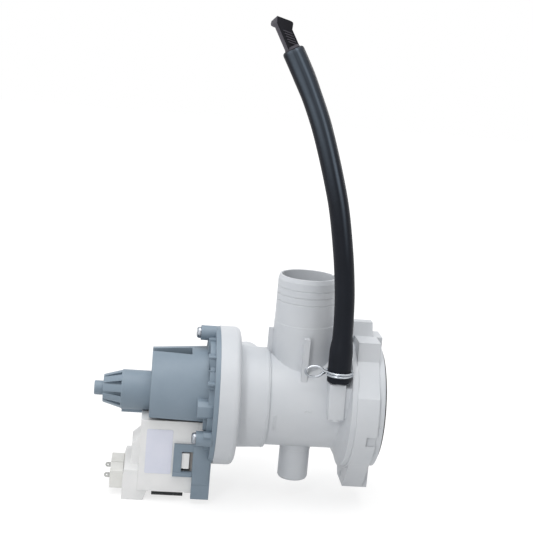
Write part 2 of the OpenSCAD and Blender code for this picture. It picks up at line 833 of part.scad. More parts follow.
// Core of the stator, drawn as (y, z): yoke below, two arms, two pole shoes round the can
module stator_core() {
  color("#232427") plate_x(x_stack_back, x_stack_front) {
    difference() {
      union() {
        translate([-yoke_half, -stack_z]) square([2 * yoke_half, yoke_h]);
        for (side = [0, 1])
          mirror([side, 0]) {
            translate([arm_y[0], -stack_z]) square([arm_y[1] - arm_y[0], stack_z + shoe_z[0] + cut]);
            translate([shoe_y[0], shoe_z[0]]) square([shoe_y[1] - shoe_y[0], shoe_z[1] - shoe_z[0]]);
          }
      }
      circle(r = can_r + pole_gap);
    }
  }
}

// Block round one arm of the core, grown by a margin on all four sides
module round_arm(grow, z0, z1) {
  box([x_stack_back - grow, arm_y[0] - grow, z0], [x_stack_front + grow, arm_y[1] + grow, z1]);
}

module bobbin() {
  core = bobbin_fit + bobbin_wall;
  lip = core + coil_t;
  difference() {
    union() {
      round_arm(core, bobbin_z[0], bobbin_z[1]);
      round_arm(lip, bobbin_z[0], bobbin_z[0] + bobbin_lip);
      round_arm(lip, bobbin_z[1] - bobbin_lip, bobbin_z[1]);
    }
    round_arm(bobbin_fit, bobbin_z[0] - 1, bobbin_z[1] + 1);
  }
}

module coil() {
  core = bobbin_fit + bobbin_wall;
  difference() {
    round_arm(core + coil_t - 0.4, bobbin_z[0] + bobbin_lip + coil_fit, bobbin_z[1] - bobbin_lip - coil_fit);
    round_arm(core, bobbin_z[0], bobbin_z[1]);
  }
}

module bobbin_near() {
  color("#E8E6DF") mirror([0, 1, 0]) bobbin();
}

module bobbin_far() {
  color("#E8E6DF") bobbin();
}

module coil_near() {
  color("#9A5B2E") mirror([0, 1, 0]) coil();
}

module coil_far() {
  color("#9A5B2E") coil();
}

// Cover of both coils, with the stepped tail that carries the terminals
module coil_cover() {
  inner = cover_half - cover_wall;
  x0 = cover_x[0];
  x1 = cover_x[1];
  color("#DFDFDE") {
    difference() {
      union() {
        box([x0, -cover_half, cover_low], [x1, cover_half, cover_top]);
        plate_y(-tail_half, tail_half) polygon([
          [tail_x, tail_low], [tail_slope[0], tail_low], [tail_slope[1], cover_low + cut], [x0 + cut, tail_top],
          [tail_x + tail_bevel[0], tail_top], [tail_x, tail_top - tail_bevel[1]]
        ]);
        plate_y(-rib_half, rib_half) polygon([
          [rib_x, tail_top - cut], [x0 + cut, tail_top - cut], [x0 + cut, rib_top], [x0, rib_top], [rib_x, rib_top - rib_fall]
        ]);
      }
      box([x0 + cover_wall, -inner, cover_low + cover_wall], [x1 - cover_wall, inner, cover_top - cover_wall]);
      both_sides() round_arm(rest_gap, cover_low, 0);
      bar_x(tail_x, x1 + cut, can_r + rest_gap);
      box(
        [x0 - cut, -rail_half - rest_gap, -can_r - rail_h - rest_gap],
        [x_shroud_back + rest_gap, rail_half + rest_gap, cover_top + cut]
      );
      box(
        [x_stack_back - rest_gap, -yoke_half - rest_gap, cover_low - 1],
        [x_stack_front + rest_gap, yoke_half + rest_gap, cover_low + cover_wall + 1]
      );
    }
    both_sides()
      box([lug_x[0], inner + 0.5, lug_z[0]], [lug_x[1], latch_in + 2, lug_z[1]]);
  }
}

module terminal_block() {
  back = tail_x - block_len;
  color("#CDCBC2") {
    difference() {
      box([back, -block_half, block_top - block_h], [tail_x, block_half, block_top]);
      for (side = [-1, 1])
        translate([0, side * tab_y, 0])
          box([back - cut, -tab_t / 2, tab_z - tab_w / 2], [back + tab_in, tab_t / 2, tab_z + tab_w / 2]);
      box([back - cut, -notch_w / 2, block_top - notch_w], [tail_x + cut, notch_w / 2, block_top + cut]);
    }
  }
}

// Flat tab with a round end and a hole, drawn as (x, z)
module terminal(side) {
  back = tail_x - block_len;
  tip = back - tab_out + tab_w / 2;
  color("#A9AAA8")
    plate_y(side * tab_y - tab_t / 2, side * tab_y + tab_t / 2) difference() {
      union() {
        translate([tip, tab_z - tab_w / 2]) square([back + tab_in - tip, tab_w]);
        translate([tip, tab_z]) circle(r = tab_w / 2);
      }
      translate([tip + 0.2, tab_z]) circle(r = tab_hole_r);
    }
}

module terminal_near() {
  terminal(-1);
}

module terminal_far() {
  terminal(1);
}

module flange_screw(angle) {
  seat = x_plate_back - boss_len;
  color("#C4C8CC") at_screws([angle]) {
    bar_x(seat, x_disc_back + bite - 1, shank_r);
    bar_x(seat - head_t + 1, seat, head_d / 2);
    bar_x(seat - head_t, seat - head_t + 1, head_d / 2 - 1, head_d / 2);
  }
}

module screw_top() {
  flange_screw(screw_angles[0]);
}

module screw_near() {
  flange_screw(screw_angles[1]);
}

module screw_far() {
  flange_screw(screw_angles[2]);
}

module drain_hose() {
  n = len(ROUTE);
  r_in = [for (i = [0:n - 1]) i < swell_rings ? hose_grip_r : hose_bore / 2];
  r_out = [for (i = [0:n - 1]) i < swell_rings ? hose_grip_r + hose_wall - 0.5 : hose_d / 2];
  color("#2A2D33") tube(ROUTE, [0, 1, 0], r_out, r_in, hose_sides);
}

// Centre line of the clamp wire
function hoop(z) = [for (i = [0:16]) let (a = 180 + hoop_open + (360 - 2 * hoop_open) * i / 16)
  [nipple_x + hoop_r * cos(a), nipple_y + hoop_r * sin(a), z]];

function ear_loop() =
  let (x0 = nipple_x - hoop_r - 1.5 - ear_len / 2)
  [for (i = [0:12]) let (a = -28 - 304 * i / 12)
    [x0 + ear_len / 2 * cos(a), nipple_y + 2 - 5 * i / 12, clamp_z + ear_h / 2 * sin(a)]];

clamp_path = concat(hoop(clamp_z - hoop_gap / 2), ear_loop(), hoop(clamp_z + hoop_gap / 2));

// Least gap of the clamp wire to itself, measured between points of the wire that are not neighbours
clamp_gap = min([for (i = [0:len(clamp_path) - 6], j = [i + 5:len(clamp_path) - 1])
  norm(clamp_path[i] - clamp_path[j])]) - wire_d;
echo(clamp_gap = clamp_gap);

module hose_clamp() {
  color("#C9CCD0") wire(clamp_path, [0.1, 0.2, 1], wire_d / 2, wire_sides);
}

// Outline of the plug seen square to its wide face, drawn as (across, along)
module plug_front() {
  polygon([
    [-grip_w / 2, rest_gap], [grip_w / 2, rest_gap], [grip_w / 2, plug_len - 12.3], [grip_w / 2 + 1.9, plug_len - 10.5],
    [grip_w / 2 + 2.9, plug_len - 7.7], [2 - grip_w / 2, plug_len + 0.1], [-grip_w / 2, plug_len]
  ]);
}

// Outline of the plug seen square to its narrow face, drawn as (depth, along)
module plug_side() {
  polygon([
    [-grip_deep / 2, rest_gap], [grip_deep / 2, rest_gap], [grip_deep / 2, plug_len - 6.9], [grip_deep / 2 + 3.1, plug_len - 5.4],
    [grip_deep / 2 + 2.3, plug_len - 3.2], [-grip_deep / 2, plug_len + 0.1]
  ]);
}

// Plug of the drain hose: stem in the hose, and a flat grip with a slanted head
module hose_plug() {
  color("#2C2C30")
    translate(route_end) rotate([0, atan2(end_dir[0], end_dir[2]), 0]) {
      translate([0, 0, -stem_len]) cylinder(h = stem_len + rest_gap + cut, r = stem_r);
      rotate(grip_turn) intersection() {
        plate_y(-grip_w, grip_w + head_reach) plug_front();
        plate_x(-grip_w, grip_w + head_reach) plug_side();
      }
    }
}

filter_housing();
front_seal();
filter_cap();
filter_basket();
filter_seal();
motor_frame();
rotor_can();
can_seal();
rear_bush();
front_bush();
rotor_shaft();
rotor_magnet();
impeller();
stator_core();
bobbin_near();
bobbin_far();
coil_near();
coil_far();
coil_cover();
terminal_block();
terminal_near();
terminal_far();
screw_top();
screw_near();
screw_far();
drain_hose();
hose_clamp();
hose_plug();
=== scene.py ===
import math

import bmesh
import bpy
from mathutils import Matrix, Vector


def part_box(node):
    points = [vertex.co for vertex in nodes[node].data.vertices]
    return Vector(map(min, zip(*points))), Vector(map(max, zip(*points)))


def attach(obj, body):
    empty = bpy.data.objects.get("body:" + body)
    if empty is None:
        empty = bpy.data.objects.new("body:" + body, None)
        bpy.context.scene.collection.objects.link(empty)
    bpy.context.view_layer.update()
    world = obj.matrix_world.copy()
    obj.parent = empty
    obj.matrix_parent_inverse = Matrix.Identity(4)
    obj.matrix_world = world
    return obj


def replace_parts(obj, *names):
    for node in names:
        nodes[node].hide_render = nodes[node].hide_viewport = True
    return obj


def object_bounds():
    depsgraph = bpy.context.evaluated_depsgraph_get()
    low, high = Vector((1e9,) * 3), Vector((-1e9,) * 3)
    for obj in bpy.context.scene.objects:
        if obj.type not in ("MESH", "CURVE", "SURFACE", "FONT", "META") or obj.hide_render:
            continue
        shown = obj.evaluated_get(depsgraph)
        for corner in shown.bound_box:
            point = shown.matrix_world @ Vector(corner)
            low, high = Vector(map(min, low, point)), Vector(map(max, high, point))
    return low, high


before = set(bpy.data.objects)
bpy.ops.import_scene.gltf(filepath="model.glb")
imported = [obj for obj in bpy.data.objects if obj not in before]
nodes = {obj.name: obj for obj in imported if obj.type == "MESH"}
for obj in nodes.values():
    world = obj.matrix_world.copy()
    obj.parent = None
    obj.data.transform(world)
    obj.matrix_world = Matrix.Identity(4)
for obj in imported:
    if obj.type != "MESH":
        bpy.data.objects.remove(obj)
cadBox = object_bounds()
print("frame loaded:", len(nodes), "nodes")


def mm(x, y, z):
    return Vector((x, y, z)) / 1000


def acrossX(y, z, x):
    return mm(x, y, z)


def acrossY(x, z, y):
    return mm(x, y, z)


def onCircle(radius, degrees):
    a = math.radians(degrees)
    return radius * math.cos(a), radius * math.sin(a)


def fullTurn(sides):
    # cosine and sine of evenly spaced angles
    return [(math.cos(2 * math.pi * k / sides), math.sin(2 * math.pi * k / sides)) for k in range(sides)]


def linked(name, data):
    made = bpy.data.objects.new(name, data)
    bpy.context.scene.collection.objects.link(made)
    return made


# camera

cameraFacts = {"place": (-156.76, -779.95, 246.96), "down": 11, "turn": 5.75, "roll": 5,
               "focal": 1146, "frame": 533, "sensor": 36, "clip": (0.01, 20)}


def makeCamera(facts):
    down, turn, roll = (math.radians(facts[key]) for key in ("down", "turn", "roll"))
    ahead = Vector((math.sin(turn) * math.cos(down), math.cos(turn) * math.cos(down), -math.sin(down)))
    level = Vector((math.cos(turn), -math.sin(turn), 0))
    upright = level.cross(ahead)
    right = math.cos(roll) * level + math.sin(roll) * upright
    up = math.cos(roll) * upright - math.sin(roll) * level
    lens = bpy.data.cameras.new("photoLens")
    lens.sensor_width = facts["sensor"]
    lens.lens = facts["sensor"] * facts["focal"] / facts["frame"]
    lens.clip_start, lens.clip_end = facts["clip"]
    camera = linked("photoCamera", lens)
    turned = Matrix((right, up, -ahead)).transposed().to_4x4()
    camera.matrix_world = Matrix.Translation(mm(*facts["place"])) @ turned
    bpy.context.scene.camera = camera


makeCamera(cameraFacts)
print("camera placed")


# node helpers

def linear(hexColour):
    parts = [int(hexColour[i:i + 2], 16) / 255 for i in (1, 3, 5)]
    return [c / 12.92 if c <= 0.04045 else ((c + 0.055) / 1.055) ** 2.4 for c in parts] + [1.0]


def newGroup(kind, name, inputs, outputs):
    # inputs and outputs name each socket and its sort
    group = bpy.data.node_groups.new(name, kind)
    for direction, sockets in (("INPUT", inputs), ("OUTPUT", outputs)):
        for label, sort in sockets.items():
            group.interface.new_socket(label, in_out=direction, socket_type="NodeSocket" + sort)
    return group, group.nodes.new("NodeGroupInput").outputs, group.nodes.new("NodeGroupOutput")


def setInputs(tree, made, inputs):
    for key, value in inputs.items():
        if isinstance(value, bpy.types.NodeSocket):
            tree.links.new(value, made.inputs[key])
        else:
            made.inputs[key].default_value = value


def addNode(tree, kind, inputs=None, **settings):
    # kind is the node's type name without its tree's part
    made = tree.nodes.new(tree.bl_idname.removesuffix("Tree") + kind)
    for key, value in settings.items():
        setattr(made, key, value)
    setInputs(tree, made, inputs or {})
    return made


def mathNode(tree, operation, first, second=None):
    values = {0: first} if second is None else {0: first, 1: second}
    return addNode(tree, "Math", values, operation=operation).outputs[0]


def mixColour(tree, share, first, second):
    return addNode(tree, "Mix", {0: share, 6: first, 7: second}, data_type="RGBA").outputs[2]


def remap(tree, value, old=(0, 1), new=(0, 1), ease="LINEAR"):
    # clamped change from one range of values to another
    ranges = dict(zip(("From Min", "From Max", "To Min", "To Max"), (*old, *new)))
    return addNode(tree, "MapRange", {"Value": value, **ranges},
                   clamp=True, interpolation_type=ease).outputs[0]


def emptyTree(holder):
    holder.use_nodes = True
    holder.node_tree.nodes.clear()
    return holder.node_tree


# shader groups

groupFacts = {"samples": 6, "edgeMatch": (0.995, 0.8), "toneRange": (0.3, 0.7), "speckRange": (0.62, 0.74),
              "noise": {"Fine Scale": (3, 0.6), "Broad Scale": (4, 0.55)}}


def makeEdgeGroup():
    # rounds every edge in the light and marks it for the edge colour: worn edges on plastics, painted
    # reflection on the screws and clamp
    group, given, result = newGroup("ShaderNodeTree", "softEdges", {"Radius": "Float"},
                                    {"Normal": "Vector", "Edge": "Float"})
    rounded = addNode(group, "Bevel", {"Radius": given["Radius"]}, samples=groupFacts["samples"]).outputs[0]
    plain = addNode(group, "NewGeometry").outputs["Normal"]
    match = addNode(group, "VectorMath", {0: rounded, 1: plain}, operation="DOT_PRODUCT")
    mask = remap(group, match.outputs["Value"], groupFacts["edgeMatch"])
    setInputs(group, result, {"Normal": rounded, "Edge": mask})
    return group


def makeGrainGroup():
    # fine texture of the mould, and slow changes of tone over a piece
    group, given, result = newGroup(
        "ShaderNodeTree", "mouldGrain", {"Fine Scale": "Float", "Broad Scale": "Float"},
        {"Height": "Float", "Tone": "Float", "Specks": "Float"})
    place = addNode(group, "TexCoord").outputs["Object"]
    fine, broad = (addNode(group, "TexNoise", {"Vector": place, "Scale": given[scale], "Detail": detail,
                                               "Roughness": rough}).outputs["Fac"]
                   for scale, (detail, rough) in groupFacts["noise"].items())
    tone, specks = remap(group, broad, groupFacts["toneRange"]), remap(group, fine, groupFacts["speckRange"])
    setInputs(group, result, {"Height": fine, "Tone": tone, "Specks": specks})
    return group


def makeToneGroup():
    # two tones of one finish, with lighter worn edges on most finishes and darker edges of painted reflection
    # on the screws and clamp, and faint fine specks
    group, given, result = newGroup(
        "ShaderNodeTree", "finishTone",
        {"Colour": "Color", "Second Colour": "Color", "Edge Colour": "Color", "Tone": "Float",
         "Edge": "Float", "Specks": "Float", "Speck Share": "Float", "Edge Wear And Shade": "Float",
         "Roughness Low": "Float", "Roughness High": "Float"}, {"Colour": "Color", "Roughness": "Float"})
    toned = mixColour(group, given["Tone"], given["Colour"], given["Second Colour"])
    fleck = mathNode(group, "MULTIPLY", given["Specks"], given["Speck Share"])
    flecked = mixColour(group, fleck, toned, given["Second Colour"])
    wornAndShaded = mathNode(group, "MULTIPLY", given["Edge"], given["Edge Wear And Shade"])
    edged = mixColour(group, wornAndShaded, flecked, given["Edge Colour"])
    rough = remap(group, given["Tone"], new=(given["Roughness Low"], given["Roughness High"]))
    setInputs(group, result, {"Colour": edged, "Roughness": rough})
    return group


sharedGroups = makeEdgeGroup(), makeGrainGroup(), makeToneGroup()


# finishes, each with its main, second and edge colour

usualFinish = {"wear": 0.5, "specks": 0.25, "rough": (0.42, 0.52), "bump": 0.1, "depth": 0.0001,
               "edge": 0.0003, "metal": 0, "shine": 0.5}
finishFacts = {
    "housing_plastic": {"colours": ("#C9CCD0", "#C2C6CB", "#DDE1E4"), "grain": (1500, 30),
        "edge": 0.0006},
    "cap_plastic": {"colours": ("#D0D3D5", "#C9CDD0", "#E2E4E6"), "grain": (1500, 35),
        "rough": (0.4, 0.5), "edge": 0.0005},
    "motor_plastic": {"colours": ("#7E8D9A", "#778693", "#9FAEBA"), "grain": (1700, 40),
        "rough": (0.45, 0.56), "bump": 0.12, "edge": 0.0004},
    "cover_plastic": {"colours": ("#E8E8E8", "#E0E1E1", "#F3F3F2"), "wear": 0.6, "grain": (1600, 45),
        "edge": 0.0006},
    "block_plastic": {"colours": ("#E2E2DF", "#DADAD6", "#ECECEA"), "grain": (1900, 80),
        "rough": (0.45, 0.55)},
    "seal_rubber": {"colours": ("#232427", "#2B2C30", "#3A3C40"), "wear": 0.4, "grain": (2400, 90),
        "rough": (0.6, 0.75), "bump": 0.2, "edge": 0.0002, "shine": 0.35},
    "bush_carbon": {"colours": ("#333437", "#2B2C2F", "#4C4E52"), "grain": (3000, 200),
        "rough": (0.5, 0.65), "bump": 0.2, "edge": 0.0002},
    "shaft_steel": {"colours": ("#C9CCD0", "#BABEC3", "#E3E5E8"), "wear": 0.6, "grain": (2500, 120),
        "rough": (0.18, 0.3), "bump": 0.05, "edge": 0.0002, "metal": 1},
    "magnet_ferrite": {"colours": ("#46474B", "#3D3E42", "#5E6066"), "grain": (2600, 90),
        "rough": (0.55, 0.7), "bump": 0.2},
    "impeller_plastic": {"colours": ("#E0E1DF", "#D8D9D6", "#EEEEEC"), "grain": (1600, 60),
        "rough": (0.4, 0.5), "edge": 0.0004},
    "core_steel": {"colours": ("#26272A", "#1E1F22", "#4A4C50"), "wear": 0.7, "grain": (2800, 110),
        "rough": (0.35, 0.5), "bump": 0.2, "edge": 0.0002, "shine": 0.4},
    "bobbin_plastic": {"colours": ("#E4E2DA", "#DAD7CD", "#F0EFEA"), "wear": 0.4, "grain": (1800, 70),
        "rough": (0.45, 0.55)},
    "coil_copper": {"colours": ("#A5622F", "#8A4E23", "#C4844C"), "grain": (2200, 100),
        "rough": (0.25, 0.35), "bump": 0.6, "edge": 0.0004, "metal": 0.8},
    "terminal_metal": {"colours": ("#B9BAB8", "#A9AAA8", "#D6D7D6"), "wear": 0.6, "grain": (2600, 150),
        "rough": (0.3, 0.42), "bump": 0.08, "edge": 0.0001, "metal": 1},
    # the screws' dark edge colour is a painted reflection: dark outlines on the bright zinc heads
    "screw_zinc": {"colours": ("#B2B6BC", "#878C93", "#34373B"), "wear": 1, "grain": (2400, 160),
        "rough": (0.22, 0.36), "bump": 0.08, "edge": 0.0006, "metal": 1},
    "hose_rubber": {"colours": ("#181B21", "#1C1F26", "#1F2229"), "wear": 0.2, "grain": (2200, 60),
        "rough": (0.4, 0.48), "bump": 0.08, "edge": 0.0004, "shine": 0.1},
    "plug_rubber": {"colours": ("#16161B", "#1B1B20", "#34343B"), "wear": 0.6, "grain": (2300, 90),
        "rough": (0.45, 0.58), "bump": 0.2, "shine": 0.12},
    # the clamp's darker edge colour is a painted reflection: dark lines between the wire's highlights
    "clamp_spring": {"colours": ("#C2C6CB", "#969CA3", "#7D838A"), "grain": (2600, 200),
        "rough": (0.2, 0.34), "bump": 0.06, "edge": 0.0002, "metal": 1},
    # dark and softer grey plates of painted shade, laid in the latch slots
    "slot_shade": {"colours": ("#3A3D41", "#313437", "#4A4E52"), "wear": 0.3, "grain": (2400, 120),
        "rough": (0.6, 0.7), "edge": 0.0001, "shine": 0.2},
    "slot_soft": {"colours": ("#9C9894", "#8A8683", "#A8A5A1"), "wear": 0.3, "grain": (2400, 120),
        "rough": (0.6, 0.7), "edge": 0.0001, "shine": 0.2},
    "label_paper": {"colours": ("#DADCE8", "#D5D8E5", "#E6E8F0"), "wear": 0.4, "grain": (3200, 90),
        "rough": (0.5, 0.6), "bump": 0.08, "edge": 0.00015},
}


def makeFinish(name, given, pattern=None):
    facts = {**usualFinish, **given}
    material = bpy.data.materials.new(name)
    tree = emptyTree(material)
    edges, grain, tone = (addNode(tree, "Group", node_tree=group) for group in sharedGroups)
    setInputs(tree, edges, {"Radius": facts["edge"]})
    setInputs(tree, grain, dict(zip(("Fine Scale", "Broad Scale"), facts["grain"])))
    main, second, edgeColour = (linear(colour) for colour in facts["colours"])
    setInputs(tree, tone, {
        "Colour": main, "Second Colour": second, "Edge Colour": edgeColour, "Tone": grain.outputs["Tone"],
        "Specks": grain.outputs["Specks"], "Speck Share": facts["specks"], "Edge": edges.outputs["Edge"],
        "Edge Wear And Shade": facts["wear"], "Roughness Low": facts["rough"][0], "Roughness High": facts["rough"][1]})
    height, colour = grain.outputs["Height"], tone.outputs["Colour"]
    if pattern:
        height, colour = pattern(tree, height, colour)
    bump = addNode(tree, "Bump", {"Strength": facts["bump"], "Distance": facts["depth"], "Height": height,
                                  "Normal": edges.outputs["Normal"]})
    shader = addNode(tree, "BsdfPrincipled", {
        "Base Color": colour, "Roughness": tone.outputs["Roughness"], "Normal": bump.outputs[0],
        "Metallic": facts["metal"], "Specular IOR Level": facts["shine"]})
    addNode(tree, "OutputMaterial", {0: shader.outputs[0]})
    return material


lineFacts = {"Distortion": 0.4, "Detail": 1}
lineShade = 0.35


def stripes(scale, direction, share, dark):
    # fine parallel lines across a finish, such as turned wire or a turned shaft
    def pattern(tree, height, colour):
        place = addNode(tree, "TexCoord").outputs["Object"]
        wave = addNode(tree, "TexWave", {"Vector": place, "Scale": scale, **lineFacts},
                       wave_type="BANDS", bands_direction=direction).outputs["Fac"]
        mixed = mathNode(tree, "ADD", mathNode(tree, "MULTIPLY", wave, share), height)
        shade = mathNode(tree, "MULTIPLY", wave, lineShade)
        return mixed, mixColour(tree, shade, colour, linear(dark))
    return pattern


# the bluish colour is painted highlight: lamp reflections painted on the rubber at fixed angles round the
# hose
paintedSheenFacts = {"colour": "#5E6873", "stretch": 0.5, "cloud": 1.6, "lines": 9, "lineShare": 0.8,
              "patch": (0.3, 0.65), "patchShare": (0.65, 1)}
streakFacts = {
    "broad": {"at": 0.432, "half": 0.085, "along": (2.1, 4), "most": 0.85},
    "narrow": {"at": 0.547, "half": 0.044, "along": (1.5, 3.1), "most": 0.95},
    "veil": {"at": 0.53, "half": 0.19, "along": (2.4, 4.3), "most": 0.4},
}


def streak(tree, turn, travel, facts):
    # one painted highlight along the rubber at a fixed angle round it, which fades in towards the free end
    off = mathNode(tree, "ABSOLUTE", mathNode(tree, "SUBTRACT", turn, facts["at"]))
    across = remap(tree, off, (0, facts["half"]), (1, 0), "SMOOTHSTEP")
    rise = remap(tree, travel, facts["along"], (0, facts["most"]), "SMOOTHSTEP")
    return mathNode(tree, "MULTIPLY", across, rise)


def alongHose(tree, height, colour):
    # drawn lines along the rubber, with two bluish painted highlights and a painted sheen veil over both
    mapNode = addNode(tree, "UVMap", uv_map="hoseMap")
    parts = addNode(tree, "SeparateXYZ", {0: mapNode.outputs[0]})
    turn, travel = parts.outputs[0], parts.outputs[1]
    angle = mathNode(tree, "MULTIPLY", turn, 2 * math.pi)
    around = addNode(tree, "CombineXYZ",
                     {0: mathNode(tree, "COSINE", angle), 1: mathNode(tree, "SINE", angle),
                      2: mathNode(tree, "MULTIPLY", travel, paintedSheenFacts["stretch"])}).outputs[0]
    cloud, lines = (addNode(tree, "TexNoise", {"Vector": around, "Scale": paintedSheenFacts[key]}).outputs["Fac"]
                    for key in ("cloud", "lines"))
    patchy = remap(tree, cloud, paintedSheenFacts["patch"], paintedSheenFacts["patchShare"])
    broad, narrow, veil = (streak(tree, turn, travel, facts) for facts in streakFacts.values())
    lit = mathNode(tree, "MAXIMUM", mathNode(tree, "MAXIMUM", broad, narrow), veil)
    paintedSheen = mathNode(tree, "MULTIPLY", lit, patchy)
    mixed = mathNode(tree, "ADD", mathNode(tree, "MULTIPLY", lines, paintedSheenFacts["lineShare"]), height)
    return mixed, mixColour(tree, paintedSheen, colour, linear(paintedSheenFacts["colour"]))


# lighter colour painted as highlight on the plug's lit faces, its collar and its ribs
plugLightFacts = {"colour": "#514F56", "attribute": "gripBloom", "collar": 0.75, "collarTop": 2.2,
             "collarTilt": 0.3, "faceFrom": 0.35}


def paintedLitGrip(tree, height, colour):
    # painted highlight: faces of the plug are lighter where the piece's own attribute says so
    paintedLight = addNode(tree, "Attribute", attribute_name=plugLightFacts["attribute"]).outputs["Fac"]
    return height, mixColour(tree, paintedLight, colour, linear(plugLightFacts["colour"]))


finishPatterns = {
    "coil_copper": stripes(900, "Z", 1, "#6E3B18"),
    "hose_rubber": alongHose,
    "plug_rubber": paintedLitGrip,
    "shaft_steel": stripes(1400, "X", 0.3, "#9EA3A9"),
}
finishes = {name: makeFinish(name, facts, finishPatterns.get(name)) for name, facts in finishFacts.items()}
for node in nodes.values():
    for holder in node.material_slots:
        holder.material = finishes[holder.material.name.split(".")[0]]
print("finishes made:", len(finishes))


# mesh helpers

meshFacts = {"merge": 1e-6, "carveMerge": 4e-6, "clearEdge": 25, "roundingSteps": 2}


def tidyMesh(name, build):
    # meshes are closed: doubles merged, normals outwards
    shape = bmesh.new()
    build(shape)
    bmesh.ops.remove_doubles(shape, verts=shape.verts, dist=meshFacts["merge"])
    bmesh.ops.recalc_face_normals(shape, faces=shape.faces)
    mesh = bpy.data.meshes.new(name)
    shape.to_mesh(mesh)
    shape.free()
    return mesh


def skinRings(shape, rings, endless=False):
    # walls from each ring of points to the next, with a face on both ends or a wall between them
    made = [[shape.verts.new(point) for point in ring] for ring in rings]
    if not endless:
        shape.faces.new(made[0])
        shape.faces.new(list(reversed(made[-1])))
    for low, high in zip(made, made[1:] + (made[:1] if endless else [])):
        for k in range(len(low)):
            n = (k + 1) % len(low)
            shape.faces.new((low[k], high[k], high[n], low[n]))


def addPrism(shape, outline, place, low, high):
    # closed prism of an outline between two levels
    skinRings(shape, [[place(u, v, level) for u, v in outline] for level in (low, high)])


def addBlock(shape, low, high):
    # closed box between two corners in millimetres
    corners = [shape.verts.new(mm(x, y, z)) for x in (low[0], high[0]) for y in (low[1], high[1])
               for z in (low[2], high[2])]
    for loop in ((0, 1, 3, 2), (4, 6, 7, 5), (0, 4, 5, 1), (2, 3, 7, 6), (0, 2, 6, 4), (1, 5, 7, 3)):
        shape.faces.new([corners[i] for i in loop])


def turnedMesh(name, profile, place, sides):
    # lathe: radius and height pairs, closed where the radius is zero
    def build(shape):
        rings = []
        for radius, z in profile:
            if radius == 0:
                rings.append([shape.verts.new(place(0, 0, z))] * sides)
            else:
                rings.append([shape.verts.new(place(radius * u, radius * v, z)) for u, v in fullTurn(sides)])
        for low, high in zip(rings, rings[1:]):
            for k in range(sides):
                n = (k + 1) % sides
                corners = [low[k], low[n], high[n], high[k]]
                shape.faces.new([v for i, v in enumerate(corners) if v not in corners[:i]])
    return tidyMesh(name, build)


def roundedOutline(xs, ys, corner, inset=0):
    # rectangle with a round corner of six points at each end
    (x0, x1), (y0, y1) = ([low + inset + corner, high - inset - corner] for low, high in (xs, ys))
    outline = []
    for x, y, start in ((x1, y1, 0), (x0, y1, 90), (x0, y0, 180), (x1, y0, 270)):
        outline += [(x + u, y + v) for u, v in (onCircle(corner, start + 18 * i) for i in range(6))]
    return outline


def evaluatedMesh(holder):
    # plain mesh of an object with its modifiers in
    bpy.context.view_layer.update()
    return bpy.data.meshes.new_from_object(holder.evaluated_get(bpy.context.evaluated_depsgraph_get()))


def softened(mesh, width):
    # every clear edge gets a small rounding
    holder = linked("softened", mesh)
    edge = holder.modifiers.new("rounding", "BEVEL")
    edge.width, edge.segments = width / 1000, meshFacts["roundingSteps"]
    edge.limit_method, edge.angle_limit = "ANGLE", math.radians(meshFacts["clearEdge"])
    done = evaluatedMesh(holder)
    bpy.data.objects.remove(holder)
    return done


def carved(name, first, others):
    # solid left when each other mesh meets, cuts or joins the first, without slivers
    blank = linked(name, first)
    spent = [blank]
    for mesh, operation in others:
        tool = linked(name + "Tool", mesh)
        spent.append(tool)
        step = blank.modifiers.new("carve", "BOOLEAN")
        step.operation, step.object, step.solver = operation, tool, "EXACT"
    done = evaluatedMesh(blank)
    for used in spent:
        bpy.data.objects.remove(used)
    shape = bmesh.new()
    shape.from_mesh(done)
    bmesh.ops.remove_doubles(shape, verts=shape.verts, dist=meshFacts["carveMerge"])
    bmesh.ops.dissolve_degenerate(shape, edges=shape.edges, dist=meshFacts["carveMerge"])
    shape.to_mesh(done)
    shape.free()
    return done


def newPiece(name, mesh, finish, degrees=30, body="housing"):
    # a finished mesh becomes a piece that rides on a body
    mesh.name = name
    mesh.shade_smooth()
    mesh.set_sharp_from_angle(angle=math.radians(degrees))
    if not mesh.materials:
        mesh.materials.append(finishes[finish])
    piece = linked(name, mesh)
    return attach(piece, body)


def spline(points, perSpan):
    # smooth curve through all points
    made = []
    for i in range(len(points) - 1):
        before = points[max(i - 1, 0)]
        start, end = points[i], points[i + 1]
        after = points[min(i + 2, len(points) - 1)]
        square = 2 * before - 5 * start + 4 * end - after
        cube = 3 * start - before - 3 * end + after
        for t in (k / perSpan for k in range(perSpan)):
            made.append(0.5 * (2 * start + (end - before) * t + square * t ** 2 + cube * t ** 3))
    return made + [points[-1]]


# drain hose

hoseFacts = {"outer": 6.8, "bore": 4, "grip": 5.35, "swell": 1.15, "swellTop": 46, "swellFade": 12,
             "lip": 0.9, "lipTurns": (90, 60, 30), "mouth": 2, "mouthTurns": (0, 18, 36, 54, 72, 90),
             "bulge": 0.45, "bulgeReach": 34, "bulgeRise": 2.2, "sides": 56, "perSpan": 6, "mapStretch": 20,
             "length": 0.228, "diameter": 0.0136}
route = [(-26, -36, 25), (-26, -36, 36), (-26, -36, 45), (-26.2, -36, 60), (-26.8, -36, 75), (-28, -36, 90),
         (-31, -36, 112), (-36.5, -36, 141), (-42.5, -36, 163), (-51, -36, 189), (-58.1, -36, 207),
         (-67.3, -36, 226.2), (-77.3, -36, 244.4)]
hoseLine = spline([mm(*p) for p in route], hoseFacts["perSpan"])
hoseEnd = hoseLine[-1]
sideways = Vector((0, 1, 0))


def eased(share):
    # soft start and end between 0 and 1
    share = min(max(share, 0), 1)
    return share * share * (3 - 2 * share)


